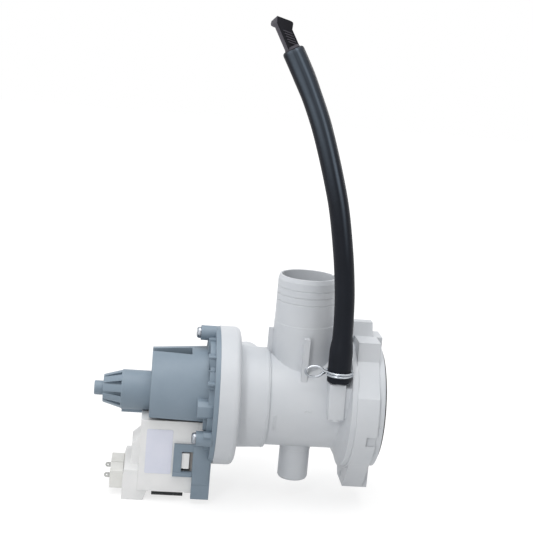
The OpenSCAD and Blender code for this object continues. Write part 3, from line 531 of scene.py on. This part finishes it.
def hoseStation(i, facts):
    # the rubber is stretched on the nipple, and a little by the plug's stem
    point = hoseLine[i]
    ahead = (hoseLine[min(i + 1, len(hoseLine) - 1)] - hoseLine[max(i - 1, 0)]).normalized()
    swell = 1 - eased((point.z * 1000 - facts["swellTop"]) / facts["swellFade"])
    bulge = eased((1 - (hoseEnd - point).length * 1000 / facts["bulgeReach"]) * facts["bulgeRise"])
    outer = (facts["outer"] + facts["swell"] * swell + facts["bulge"] * bulge) / 1000
    inner = (facts["bore"] + (facts["grip"] - facts["bore"]) * swell) / 1000
    return point, ahead, outer, inner


def roundedLip(station, size, turns):
    point, ahead, outer, _ = station
    return [(point + ahead * size * (1 - math.sin(a)), ahead, outer - abs(size) * (1 - math.cos(a)))
            for a in map(math.radians, turns)]


def hoseOutline(facts):
    # centre, direction and radius of each ring: up the outside, over a rounded lip, down the bore
    lip, mouth = facts["lip"] / 1000, facts["mouth"] / 1000
    stations = [hoseStation(i, facts) for i in range(len(hoseLine))]
    low, high = stations[0], stations[-1]
    rings = roundedLip(low, lip, facts["lipTurns"])
    rings += [(point, ahead, outer) for point, ahead, outer, _ in stations
              if (point - low[0]).dot(low[1]) > lip and (high[0] - point).dot(high[1]) > mouth]
    rings += roundedLip(high, -mouth, facts["mouthTurns"])
    return rings + [(point, ahead, inner) for point, ahead, _, inner in reversed(stations)]


def buildHose(facts):
    sides = facts["sides"]
    outline = hoseOutline(facts)

    def build(shape):
        mapLayer = shape.loops.layers.uv.new("hoseMap")
        made = []
        for point, ahead, radius in outline:
            deep = ahead.cross(sideways).normalized()
            made.append([shape.verts.new(point + radius * (u * sideways + v * deep))
                         for u, v in fullTurn(sides)])
        travel = 0
        for i, ring in enumerate(made):
            after = (i + 1) % len(made)
            stride = (outline[after][0] - outline[i][0]).length
            for k in range(sides):
                n = (k + 1) % sides
                face = shape.faces.new((ring[k], ring[n], made[after][n], made[after][k]))
                for loop, (turn, share) in zip(face.loops, ((k, 0), (k + 1, 0), (k + 1, 1), (k, 1))):
                    loop[mapLayer].uv = (turn / sides, (travel + stride * share) * facts["mapStretch"])
            travel += stride
    return newPiece("drainHoseTube", tidyMesh("drainHoseTube", build), "hose_rubber", degrees=50)


hose = buildHose(hoseFacts)
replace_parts(hose, "drain_hose")
print("drain hose made")


# geometry node helpers

def newTree(name, inputs):
    geometry = {"Geometry": "Geometry"}
    return newGroup("GeometryNodeTree", name, {**geometry, **inputs}, geometry)


def bakeTree(name, group, values, base, finish, body="housing", degrees=35):
    # what the tree makes of the base mesh becomes a plain piece
    holder = linked(name + "Base", base)
    modifier = holder.modifiers.new(group.name, "NODES")
    modifier.node_group = group
    for item in group.interface.items_tree:
        if item.in_out == "INPUT" and item.name in values:
            modifier[item.identifier] = values[item.name]
    mesh = evaluatedMesh(holder)
    bpy.data.objects.remove(holder)
    return newPiece(name, mesh, finish, degrees, body=body)


def spreadAlong(group, count, start, offset, piece, turn=(0, 0, 0)):
    # copies of a piece in a row
    line = addNode(group, "MeshLine", {"Count": count, "Start Location": start, "Offset": offset}).outputs[0]
    placed = {"Points": line, "Instance": piece, "Rotation": turn}
    return addNode(group, "InstanceOnPoints", placed).outputs[0]


def endTree(group, geometry, result, finish):
    real = addNode(group, "RealizeInstances", {0: geometry}).outputs[0]
    coated = addNode(group, "SetMaterial", {0: real, "Material": finishes[finish]})
    setInputs(group, result, {0: coated.outputs[0]})
    return group


# hose clamp: one wire, two turns and a long ear

clampFacts = {"at": (-26, -36, 0), "wire": 0.85, "sides": 14, "z": 31.5, "gap": 1.75, "hoop": 8.95,
              "open": 22, "hoopSteps": 24, "ear": 12.6, "earHeight": 8.4, "earGap": 1.5,
              "earTurn": (-28, -304), "earDrift": (2, -5), "earSteps": 18, "perSpan": 2}


def clampPath(facts):
    centre, steps = Vector(facts["at"]), facts["hoopSteps"]

    def hoop(z):
        start, sweep = 180 + facts["open"], 360 - 2 * facts["open"]
        turned = (onCircle(facts["hoop"], start + sweep * i / steps) for i in range(steps + 1))
        return [centre + Vector((u, v, z)) for u, v in turned]
    half, high = facts["ear"] / 2, facts["earHeight"] / 2
    earX = centre.x - facts["hoop"] - facts["earGap"] - half
    ear = []
    for i in range(facts["earSteps"] + 1):
        angle, y = (start + change * i / facts["earSteps"]
                    for start, change in (facts["earTurn"], facts["earDrift"]))
        u, w = onCircle(1, angle)
        ear.append(Vector((earX + half * u, centre.y + y, facts["z"] + high * w)))
    return hoop(facts["z"] - facts["gap"] / 2) + ear + hoop(facts["z"] + facts["gap"] / 2)


def makeWireTree():
    group, given, result = newTree("bentWire", {"Wire Radius": "Float", "Sides": "Int"})
    line = addNode(group, "MeshToCurve", {0: given["Geometry"]}).outputs[0]
    sizes = {"Resolution": given["Sides"], "Radius": given["Wire Radius"]}
    profile = addNode(group, "CurvePrimitiveCircle", sizes)
    tube = addNode(group, "CurveToMesh", {0: line, 1: profile.outputs[0], "Fill Caps": True})
    return endTree(group, tube.outputs[0], result, "clamp_spring")


def lineMesh(name, points):
    mesh = bpy.data.meshes.new(name)
    mesh.from_pydata(points, [(i, i + 1) for i in range(len(points) - 1)], [])
    return mesh


clampLine = [p / 1000 for p in spline(clampPath(clampFacts), clampFacts["perSpan"])]
clamp = bakeTree("hoseClampWire", makeWireTree(),
                 {"Wire Radius": clampFacts["wire"] / 1000, "Sides": clampFacts["sides"]},
                 lineMesh("clampLine", clampLine), "clamp_spring")
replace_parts(clamp, "hose_clamp")
print("hose clamp made")


# hose plug

plugFacts = {
    "turn": 22, "soften": 0.4, "near": -2.9, "reach": 12, "sides": 40,
    "front": [(-4.3, 0.3), (4.1, 0.3), (4, 11.4), (6.2, 14.4), (6.4, 15.4), (5.6, 16.6), (-2, 23.2),
              (-4.3, 19.2)],
    "side": [(-2.9, 0.3), (2.3, 0.3), (2.3, 17), (4.6, 17.8), (6.4, 19), (6.9, 20.4), (6.2, 21.5),
             (-2.9, 23.3)],
    "stem": [(0, -15), (2.8, -15), (3.4, -14.2), (3.4, -0.4), (4.9, -0.2), (5.2, 0.1), (5.1, 0.5),
             (4.2, 2), (0, 2)],
    "ribs": 5, "ribPitch": 1.95, "ribStart": 3.4, "ribAt": 0.2, "ribSize": (6.4, 1, 0.65), "ribLean": 42,
    "ribPaintedLight": 0.7}
plugAxis = (Vector(route[-1]) - Vector(route[-2])).normalized()
plugAcross = sideways.cross(plugAxis).normalized()
plugTurn = math.radians(plugFacts["turn"])
plugWide = plugAcross * math.cos(plugTurn) + sideways * math.sin(plugTurn)
plugDeep = sideways * math.cos(plugTurn) - plugAcross * math.sin(plugTurn)


def plugPlace(x, y, z):
    # x across the grip, y through it, z along the hose
    return hoseEnd + (plugWide * x + plugDeep * y + plugAxis * z) / 1000


def markPaintedLight(mesh):
    # painted highlight on the narrow face, which faces the light, and on the level faces of the collar
    layer = mesh.attributes.new(plugLightFacts["attribute"], "FLOAT", "FACE")
    for face, value in zip(mesh.polygons, layer.data):
        height = (Vector(face.center) - hoseEnd).dot(plugAxis) * 1000
        level = abs(face.normal.dot(plugAxis)) > plugLightFacts["collarTilt"]
        onCollar = level and 0 < height < plugLightFacts["collarTop"]
        turned = -face.normal.dot(plugWide) - plugLightFacts["faceFrom"]
        value.value = plugLightFacts["collar"] if onCollar else max(0, turned) / (1 - plugLightFacts["faceFrom"])
    return mesh


def buildPlug(facts):
    reach = facts["reach"]
    front = tidyMesh("plugFront", lambda shape: addPrism(
        shape, facts["front"], lambda u, v, t: plugPlace(u, t, v), -reach, reach))
    side = tidyMesh("plugSide", lambda shape: addPrism(
        shape, facts["side"], lambda u, v, t: plugPlace(t, u, v), -reach, reach))
    grip = softened(carved("plugGrip", front, [(side, "INTERSECT")]), facts["soften"])
    stem = turnedMesh("plugStem", facts["stem"], plugPlace, facts["sides"])
    return markPaintedLight(carved("plugWhole", grip, [(stem, "UNION")]))


def makeRibTree():
    group, given, result = newTree("gripRibs", {"Rib Size": "Vector", "Rib Slant": "Vector", "Ribs": "Int",
                                                "Stride": "Vector", "Start": "Vector", "Painted Light": "Float"})
    rib = addNode(group, "MeshCube", {"Size": given["Rib Size"]}).outputs[0]
    spread = spreadAlong(group, given["Ribs"], given["Start"], given["Stride"], rib, given["Rib Slant"])
    real = addNode(group, "RealizeInstances", {0: spread}).outputs[0]
    # the ribs are marked for painted highlight too
    mark = {"Geometry": real, "Name": plugLightFacts["attribute"], "Value": given["Painted Light"]}
    paintedLight = addNode(group, "StoreNamedAttribute", mark, data_type="FLOAT", domain="FACE")
    joined = addNode(group, "JoinGeometry")
    group.links.new(paintedLight.outputs[0], joined.inputs[0])
    group.links.new(given["Geometry"], joined.inputs[0])
    return endTree(group, joined.outputs[0], result, "plug_rubber")


ribTurn = Matrix((plugWide, plugDeep, plugAxis)).transposed() @ Matrix.Rotation(
    math.radians(plugFacts["ribLean"]), 3, "Y")
plug = bakeTree("hosePlugGrip", makeRibTree(), {
    "Rib Size": tuple(v / 1000 for v in plugFacts["ribSize"]), "Rib Slant": tuple(ribTurn.to_euler("XYZ")),
    "Ribs": plugFacts["ribs"], "Stride": tuple(plugAxis * plugFacts["ribPitch"] / 1000),
    "Start": tuple(plugPlace(plugFacts["ribAt"], plugFacts["near"], plugFacts["ribStart"])),
    "Painted Light": plugFacts["ribPaintedLight"]}, buildPlug(plugFacts), "plug_rubber", body="plug")
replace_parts(plug, "hose_plug")
print("plug made")


# flange screws: flat round heads with a cross recess, which point along +X

screwFacts = {"circle": 44.4, "angles": (90, 206, 334), "seat": -120.1, "tip": -95.6,
              "head": 4, "headDeep": 3,
              "headSteps": [(0, 0), (0, 0.62), (0.12, 0.84), (0.36, 0.97), (0.62, 1), (1, 1)],
              "shank": 2, "point": 2, "pointWide": 0.4, "sides": 40,
              "crossArm": 0.86, "crossHalf": 0.17, "crossDeep": 0.7, "crossTaper": 0.45}


def buildScrew(facts):
    head, deep, shank = facts["head"] / 1000, facts["headDeep"] / 1000, facts["shank"] / 1000
    length = (facts["tip"] - facts["seat"]) / 1000
    profile = [(head * wide, -deep + deep * back) for back, wide in facts["headSteps"]]
    profile += [(shank, 0), (shank, length - facts["point"] / 1000), (shank * facts["pointWide"], length),
                (0, length)]
    return turnedMesh("flangeScrew", profile, lambda u, v, x: (x, u, v), facts["sides"])


def cutCross(mesh, facts):
    head, deep = facts["head"] / 1000, facts["headDeep"] / 1000
    arm, half, depth = head * facts["crossArm"], head * facts["crossHalf"], deep * facts["crossDeep"]

    def bar(wide, high):
        def build(shape):
            for v in bmesh.ops.create_cube(shape, size=1.0)["verts"]:
                v.co = Vector((v.co.x * depth * 2 - deep, v.co.y * wide, v.co.z * high))
                if v.co.x > -deep:
                    v.co.y *= facts["crossTaper"]
                    v.co.z *= facts["crossTaper"]
        return tidyMesh("crossCutter", build)
    bars = bar(2 * arm, 2 * half), bar(2 * half, 2 * arm)
    return carved("screwBlank", mesh, [(tool, "DIFFERENCE") for tool in bars])


def makeSpreadTree():
    group, given, result = newTree("screwSpread", {"Screw": "Object"})
    model = addNode(group, "ObjectInfo", {"Object": given["Screw"], "As Instance": True},
                    transform_space="ORIGINAL").outputs["Geometry"]
    spread = addNode(group, "InstanceOnPoints", {"Points": given["Geometry"], "Instance": model})
    return endTree(group, spread.outputs[0], result, "screw_zinc")


def placeScrews(facts):
    model = linked("screwModel", cutCross(buildScrew(facts), facts))
    places = bpy.data.meshes.new("screwPlaces")
    places.from_pydata([mm(facts["seat"], *onCircle(facts["circle"], a)) for a in facts["angles"]], [], [])
    made = bakeTree("flangeScrews", makeSpreadTree(), {"Screw": model}, places, "screw_zinc")
    bpy.data.objects.remove(model)
    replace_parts(made, "screw_top", "screw_near", "screw_far")


placeScrews(screwFacts)
print("flange screws made")


# stator laminations, with the same outline as the CAD core

stackFacts = {"back": -147.3, "front": -125.3, "sheet": 0.5, "gap": 0.06, "bore": 14.3, "boreSteps": 24,
              "yoke": 19, "yokeLow": -70.4, "yokeHigh": -61.4, "corner": 1, "nick": 0.3,
              "arm": (9, 17), "shoe": (8, 21), "shoeLow": -12.5, "shoeHigh": 14,
              "slack": 0.01, "samePoint": 1e-4}


def coreOutline(facts):
    # one half drawn as (y, z), then its mirror image
    yoke, low, high, corner, nick = (facts[key] for key in ("yoke", "yokeLow", "yokeHigh", "corner", "nick"))
    (armIn, armOut), (shoeIn, shoeOut), shoeLow = facts["arm"], facts["shoe"], facts["shoeLow"]
    bore, steps = facts["bore"], facts["boreSteps"]
    half = [(yoke - corner, low), (yoke - nick, low + nick), (yoke, low + corner), (yoke, high),
            (armOut, high), (armOut, shoeLow), (shoeOut, shoeLow), (shoeOut, facts["shoeHigh"]),
            (shoeIn, facts["shoeHigh"])]
    start, end = math.atan2(math.sqrt(bore ** 2 - shoeIn ** 2), shoeIn), math.asin(shoeLow / bore)
    for i in range(steps + 1):
        a = start + (end - start) * i / steps
        if bore * math.cos(a) >= shoeIn - facts["slack"]:
            half.append((bore * math.cos(a), bore * math.sin(a)))
    half += [(half[-1][0], shoeLow), (armIn, shoeLow), (armIn, high)]
    whole = half + [(-y, z) for y, z in reversed(half)]
    return [p for i, p in enumerate(whole) if math.dist(p, whole[i - 1]) > facts["samePoint"]]


def lamination(facts):
    thick = (facts["sheet"] - facts["gap"]) / 1000

    def build(shape):
        addPrism(shape, coreOutline(facts), lambda y, z, x: (x, y / 1000, z / 1000), 0, thick)
        bmesh.ops.triangulate(shape, faces=[f for f in shape.faces if len(f.verts) > 4])
    return tidyMesh("lamination", build)


def makeStackTree(name, finish):
    group, given, result = newTree(name, {"Layers": "Int", "Pitch": "Vector", "First": "Vector"})
    spread = spreadAlong(group, given["Layers"], given["First"], given["Pitch"], given["Geometry"])
    return endTree(group, spread, result, finish)


sheets = round((stackFacts["front"] - stackFacts["back"]) / stackFacts["sheet"])
stack = bakeTree("statorLaminations", makeStackTree("sheetStack", "core_steel"),
                 {"Layers": sheets, "Pitch": (stackFacts["sheet"] / 1000, 0, 0),
                  "First": (stackFacts["back"] / 1000, 0, 0)}, lamination(stackFacts), "core_steel")
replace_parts(stack, "stator_core")
print("laminations made:", sheets)


# windings of the two bobbins, one rounded ring of wire for each turn

windingFacts = {"x": (-151.3, -121.3), "y": (5, 21), "z": (-57.4, -20.6), "wall": 2.6, "turns": 73,
                "corner": 2.4, "holeCorner": 0.4, "filled": 0.98,
                "ridge": [(0.25, 1), (0.075, 0.65), (0, 0)]}


def windingRing(facts, pitch):
    outer = roundedOutline(facts["x"], facts["y"], facts["corner"])
    inner = roundedOutline(facts["x"], facts["y"], facts["holeCorner"], facts["wall"])
    half, wall = pitch * facts["filled"] / 2, facts["wall"]
    ridge = [(depth, half * share) for depth, share in facts["ridge"]]
    section = [(wall, -half)] + [(depth, -z) for depth, z in ridge] + ridge[-2::-1] + [(wall, half)]

    def build(shape):
        for side in (-1, 1):
            skinRings(shape, [[mm(x0 + (x1 - x0) * depth / wall, side * (y0 + (y1 - y0) * depth / wall), z)
                               for depth, z in section] for (x0, y0), (x1, y1) in zip(outer, inner)], True)
    return tidyMesh("windingRing", build)


pitch = (windingFacts["z"][1] - windingFacts["z"][0]) / windingFacts["turns"]
windings = bakeTree("statorWindings", makeStackTree("wireTurns", "coil_copper"),
                    {"Layers": windingFacts["turns"], "Pitch": (0, 0, pitch / 1000),
                     "First": (0, 0, (windingFacts["z"][0] + pitch / 2) / 1000)},
                    windingRing(windingFacts, pitch), "coil_copper", degrees=60)
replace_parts(windings, "coil_near", "coil_far")
print("windings made:", windingFacts["turns"], "turns")


# label: a bare plate

labelFacts = {"x": (-153.2, -135), "z": (-51.8, -19.7), "face": -25, "sink": 0.02, "thick": 0.25,
              "corner": 1.2}


def buildLabel(facts):
    outline = roundedOutline(facts["x"], facts["z"], facts["corner"])
    levels = facts["face"] + facts["sink"], facts["face"] - facts["thick"]
    mesh = tidyMesh("bareLabel", lambda shape: addPrism(shape, outline, acrossY, *levels))
    newPiece("bareLabel", mesh, "label_paper")


buildLabel(labelFacts)
print("label made")


# small marks of the mould on the housing's tube: low strips, domed pips and a raised parting line

markFacts = {
    "tube": 33.4, "sink": 0.1, "stepDegrees": 2, "stripTop": 0.7,
    "pipSides": 16, "pipShape": ((1, 0), (0.95, 0.5), (0.7, 0.85), (0.35, 1)),
    "strips": [(-67.3, -175, -155, 0.5, 0.22), (-66, -175, -155, 0.5, 0.22),
               (-45, 176.2, 177.2, 1.6, 0.2), (-42.6, 176.4, 178.4, 1.4, 0.2)],
    "pips": [(-46.4, 177.4, 33.4, 0.55, 0.3), (4.9, -176, 44.5, 0.8, 0.45)],
    "bead": {"x": -72.5, "radius": 35.15, "wire": 0.45, "sides": 96, "profile": 10},
}


def onTube(x, degrees, radius):
    return mm(x, *onCircle(radius, degrees))


def addStrip(shape, facts, x, start, end, width, rise):
    # low rib bent round the tube, its foot a little inside the wall
    steps = max(2, round((end - start) / facts["stepDegrees"]))
    sink, top = facts["sink"], facts["stripTop"]
    corners = ((-1, -sink), (1, -sink), (top, rise), (-top, rise))
    skinRings(shape, [[onTube(x + side * width / 2, start + (end - start) * i / steps, facts["tube"] + height)
                       for side, height in corners] for i in range(steps + 1)])


def addPip(shape, facts, x, degrees, radius, size, rise):
    foot = onTube(x, degrees, radius - facts["sink"])
    outwards = onTube(0, degrees, 1).normalized()
    along = Vector((1, 0, 0))
    around = outwards.cross(along)
    high, wide = (rise + facts["sink"]) / 1000, size / 1000
    skinRings(shape, [[foot + outwards * high * height + (along * u + around * v) * wide * share
                       for u, v in fullTurn(facts["pipSides"])] for share, height in facts["pipShape"]])


def addBead(shape, facts):
    x, radius, wire = facts["x"], facts["radius"], facts["wire"]
    skinRings(shape, [[mm(x + wire * u, (radius + wire * v) * c, (radius + wire * v) * s)
                       for u, v in fullTurn(facts["profile"])] for c, s in fullTurn(facts["sides"])], True)


def buildMarks(facts):
    def build(shape):
        for strip in facts["strips"]:
            addStrip(shape, facts, *strip)
        for pip in facts["pips"]:
            addPip(shape, facts, *pip)
        addBead(shape, facts["bead"])
    newPiece("mouldMarks", tidyMesh("mouldMarks", build), "housing_plastic", degrees=40)


buildMarks(markFacts)
print("mould marks made")


# painted shade: dark and softer grey plates in the slots round the latch lugs stand for their shadow, with
# white strips for the lugs' edges and the end of the cover's wall

slotFacts = {
    "face": 25, "sink": 0.05,
    "strips": [("slot_shade", (-127.9, -122), (-48.7, -46.6), 0.12),
               ("slot_shade", (-127.6, -122.4), (-35.4, -34.2), 0.12),
               ("slot_soft", (-122.8, -120.6), (-48.7, -34.2), 0.12),
               ("cover_plastic", (-128.05, -126.6), (-46.5, -35.4), 1.9),
               ("cover_plastic", (-118.1, -114.6), (-24.4, -13.4), -1)],
}


def buildSlots(facts):
    names = sorted({strip[0] for strip in facts["strips"]})

    def build(shape):
        for side in (-1, 1):
            for name, (x0, x1), (z0, z1), thick in facts["strips"]:
                y0, y1 = sorted((side * (facts["face"] - facts["sink"]), side * (facts["face"] + thick)))
                before = len(shape.faces)
                addBlock(shape, (x0, y0, z0), (x1, y1, z1))
                shape.faces.ensure_lookup_table()
                for face in shape.faces[before:]:
                    face.material_index = names.index(name)
    mesh = tidyMesh("latchSlots", build)
    for name in names:
        mesh.materials.append(finishes[name])
    newPiece("latchSlots", mesh, None)


buildSlots(slotFacts)
print("latch slots made")


# small stops, hooks and rims moulded on the motor frame

stopFacts = {
    "prisms": {
        "sideStop": (acrossX, (-120.6, -109.8),
                     [(-33, -5.1), (-41, -5.1), (-44, -2.9), (-44, 4.2), (-41, 6.9), (-33, 6.9)]),
        "rimHook": (acrossX, (-114.9, -109.8),
                    [(-39, 16.2), (-40.5, 15.9), (-43.6, 19.4), (-43.6, 20.8), (-39, 20.8)]),
        "topStop": (acrossX, (-114.8, -109.8),
                    [(-24, 36.3), (-32.4, 36.3), (-32.4, 35.1), (-31.4, 34.6), (-34.4, 26.4), (-24, 26.4)]),
        "tabLip": (acrossX, (-115.4, -109.8),
                   [(-40, -16.9), (-46.3, -16.9), (-46.3, -15.8), (-44.9, -13.6), (-40, -13.6)]),
        "tab": (acrossY, (-44.5, -40),
                [(-115, -16.8), (-109.8, -16.8), (-109.8, -7.4), (-113, -7.4), (-115, -9.8)]),
    },
    "plates": {"latchBar": ((-133.85, -120.6), (-52.35, -49.3), 0.6),
               "skirt": ((-120.25, -108.7), (-57.6, -29.5), 0.7)},
    "hollows": [((-114.5, -35.4, 26.9), (-110.4, -31.9, 34.4)),
                ((-113, -43.5, 15.9), (-110.3, -40.5, 18.6))],
    "latchFace": 27.6, "soften": 0.25,
}


def buildStops(facts):
    def build(shape):
        for place, reach, outline in facts["prisms"].values():
            addPrism(shape, outline, place, *reach)
        for side in (-1, 1):
            for (x0, x1), (z0, z1), rise in facts["plates"].values():
                y0, y1 = sorted((side * facts["latchFace"], side * (facts["latchFace"] + rise)))
                addBlock(shape, (x0, y0, z0), (x1, y1, z1))

    def hollows(shape):
        for corners in facts["hollows"]:
            addBlock(shape, *corners)
    mesh = carved("frameStops", softened(tidyMesh("frameStops", build), facts["soften"]),
                  [(tidyMesh("stopHollows", hollows), "DIFFERENCE")])
    newPiece("frameStops", mesh, "motor_plastic")


buildStops(stopFacts)
print("frame stops made")


# square foot of the hose nipple, with a web to the flange

footFacts = {"low": (-31.5, -20.3), "high": (-32.4, -20.9), "front": -41.5, "rear": -20.5, "z": (-1, 24.3),
             "web": ((-22, -39.4, -0.4), (-15.5, -20.5, 21.5)), "soften": 0.7,
             "chamber": (32.2, -40, 0, 96), "nipple": (5, -4, 30, 40), "nippleAt": (-26, -36),
             "passage": (4.4, -36, -18, 32), "passageZ": 6.5}


def buildFoot(facts):
    front, rear, (x, y) = facts["front"], facts["rear"], facts["nippleAt"]

    def build(shape):
        skinRings(shape, [[mm(x0, front, z), mm(x1, front, z), mm(x1, rear, z), mm(x0, rear, z)]
                          for (x0, x1), z in zip((facts["low"], facts["high"]), facts["z"])])

    def cutter(key, place):
        radius, start, end, sides = facts[key]
        profile = [(0, start), (radius, start), (radius, end), (0, end)]
        return turnedMesh(key + "Cutter", profile, place, sides)
    web = softened(tidyMesh("nippleWeb", lambda shape: addBlock(shape, *facts["web"])), facts["soften"])
    cutters = [cutter("chamber", acrossX), cutter("nipple", lambda u, v, t: mm(x + u, y + v, t)),
               cutter("passage", lambda u, v, t: mm(x + u, t, facts["passageZ"] + v))]
    mesh = carved("nippleFoot", softened(tidyMesh("nippleBlock", build), facts["soften"]),
                  [(web, "UNION")] + [(tool, "DIFFERENCE") for tool in cutters])
    newPiece("nippleFoot", mesh, "housing_plastic")


buildFoot(footFacts)
print("nipple foot made")


# rotor can: a cup with a tapered nose, ten slots and an end knob

canFacts = {"wall": 13.9, "bore": 12.4, "knob": 5, "knobEnd": -191.9, "knobEdge": 0.5, "nose": -185.6,
            "noseRadius": 9.8, "noseEdge": 0.3, "shoulder": -173, "noseRoot": 13.4, "edge": 0.7,
            "floor": -171.5, "seat": -106.6, "flange": 2, "sides": 120, "slots": 10,
            "slotLevels": (9.5, 16), "slotWide": (0.5, 1.5), "slotStart": 1,
            "rail": ((-172, -152.9), 2.4, -16), "railSink": 0.6}


def slotCutter(facts):
    # wedge that widens and deepens from the tip of the nose to its shoulder
    (low, high), (narrow, wide) = facts["slotLevels"], facts["slotWide"]
    start = facts["nose"] - facts["slotStart"]

    def build(shape):
        for k in range(facts["slots"]):
            a = math.radians(360 * k / facts["slots"])
            outwards, across = Vector((0, -math.cos(a), math.sin(a))), Vector((0, math.sin(a), math.cos(a)))
            skinRings(shape, [[(Vector((x, 0, 0)) + outwards * r + across * half * side) / 1000
                               for side, r in ((-1, low), (1, low), (1, high), (-1, high))]
                              for x, half in ((start, narrow), (facts["shoulder"], wide))])
    return tidyMesh("slotCutter", build)


def buildCan(facts):
    wall, bore, knob, noseRadius = (facts[key] for key in ("wall", "bore", "knob", "noseRadius"))
    end, nose, shoulder, seat = (facts[key] for key in ("knobEnd", "nose", "shoulder", "seat"))
    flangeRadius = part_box("rotor_can")[1][1] * 1000
    front = seat + facts["flange"]
    profile = [(0, end), (knob - facts["knobEdge"], end), (knob, end + facts["knobEdge"]), (knob, nose),
               (noseRadius - facts["noseEdge"], nose), (noseRadius, nose + facts["noseEdge"]),
               (facts["noseRoot"], shoulder), (wall, shoulder + facts["edge"]), (wall, seat),
               (flangeRadius, seat), (flangeRadius, front), (bore, front), (bore, facts["floor"]),
               (0, facts["floor"])]
    cup = turnedMesh("canCup", profile, acrossX, facts["sides"])
    (x0, x1), half, low = facts["rail"]
    high = -bore - facts["railSink"]
    rail = tidyMesh("canRail", lambda shape: addBlock(shape, (x0, -half, low), (x1, half, high)))
    mesh = carved("rotorCanCup", cup, [(slotCutter(facts), "DIFFERENCE"), (rail, "UNION")])
    return newPiece("rotorCanCup", mesh, "motor_plastic")


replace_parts(buildCan(canFacts), "rotor_can")
print("rotor can made")


# studio

studioFacts = {"ambient": 0.47, "floorTone": 0.68, "floorShare": 0.5, "floorReach": 4,
               "glowNear": 1.4, "glowFar": 1.9, "glowReach": 1.6}
lamps = {
    "topPanel": {"at": (-0.15, -0.20, 1.2), "aim": (-0.08, 0, 0.03), "size": (1.1, 1.1), "power": 11.2},
    "frontPanel": {"at": (-0.75, -1.25, 0.62), "aim": (-0.09, 0, 0.1), "size": (0.18, 1.3), "power": 5.9},
    "rimPanel": {"at": (0.85, 0.8, 0.5), "aim": (-0.09, 0, 0.05), "size": (0.3, 0.7), "power": 3.2},
    "leftPanel": {"at": (-1.35, 0.45, 0.5), "aim": (-0.09, 0, 0.1), "size": (0.5, 0.8), "power": 3},
}


def seenWhite(tree):
    # camera, mirror and clear rays see the plain white studio
    light = addNode(tree, "LightPath")
    seen = mathNode(tree, "MAXIMUM", light.outputs["Is Camera Ray"], light.outputs["Is Glossy Ray"])
    return mathNode(tree, "MAXIMUM", seen, light.outputs["Is Transmission Ray"])


def makeWorld(facts):
    world = bpy.data.worlds.new("studioWorld")
    bpy.context.scene.world = world
    tree = emptyTree(world)
    soft, white = (addNode(tree, "Background", {"Color": (1, 1, 1, 1), "Strength": strength}).outputs[0]
                   for strength in (facts["ambient"], 1))
    mixed = addNode(tree, "MixShader", {0: seenWhite(tree), 1: soft, 2: white})
    addNode(tree, "OutputWorld", {0: mixed.outputs[0]})


def makeLamp(name, facts):
    light = bpy.data.lights.new(name, "AREA")
    light.shape, light.energy = "RECTANGLE", facts["power"]
    light.size, light.size_y = facts["size"]
    holder = linked(name, light)
    holder.location = facts["at"]
    holder.rotation_euler = (Vector(facts["aim"]) - Vector(facts["at"])).to_track_quat("-Z", "Y").to_euler()


def makeFloor(facts):
    # lamps fade with distance, so the floor glows more towards its rim where it is looked at
    reach, lowest = facts["floorReach"], cadBox[0].z
    mesh = bpy.data.meshes.new("paleFloor")
    corners = [(x * reach, y * reach, lowest) for x, y in ((-1, -1), (1, -1), (1, 1), (-1, 1))]
    mesh.from_pydata(corners, [], [(0, 1, 2, 3)])
    paint = bpy.data.materials.new("paleFloor")
    tree = emptyTree(paint)
    place = addNode(tree, "TexCoord").outputs["Object"]
    distance = addNode(tree, "VectorMath", {0: place}, operation="LENGTH").outputs["Value"]
    strength = remap(tree, distance, (0, facts["glowReach"]), (facts["glowNear"], facts["glowFar"]))
    matt = addNode(tree, "BsdfDiffuse", {"Color": [facts["floorTone"]] * 3 + [1]}).outputs[0]
    glow = addNode(tree, "Emission", {"Color": (1, 1, 1, 1), "Strength": strength}).outputs[0]
    share = mathNode(tree, "MULTIPLY", seenWhite(tree), 1 - facts["floorShare"])
    both = addNode(tree, "MixShader", {0: share, 1: matt, 2: glow})
    addNode(tree, "OutputMaterial", {0: both.outputs[0]})
    mesh.materials.append(paint)
    linked("paleFloor", mesh)


makeWorld(studioFacts)
for name, lamp in lamps.items():
    makeLamp(name, lamp)
makeFloor(studioFacts)
bpy.context.scene.view_settings.view_transform = "Standard"
print("studio made")
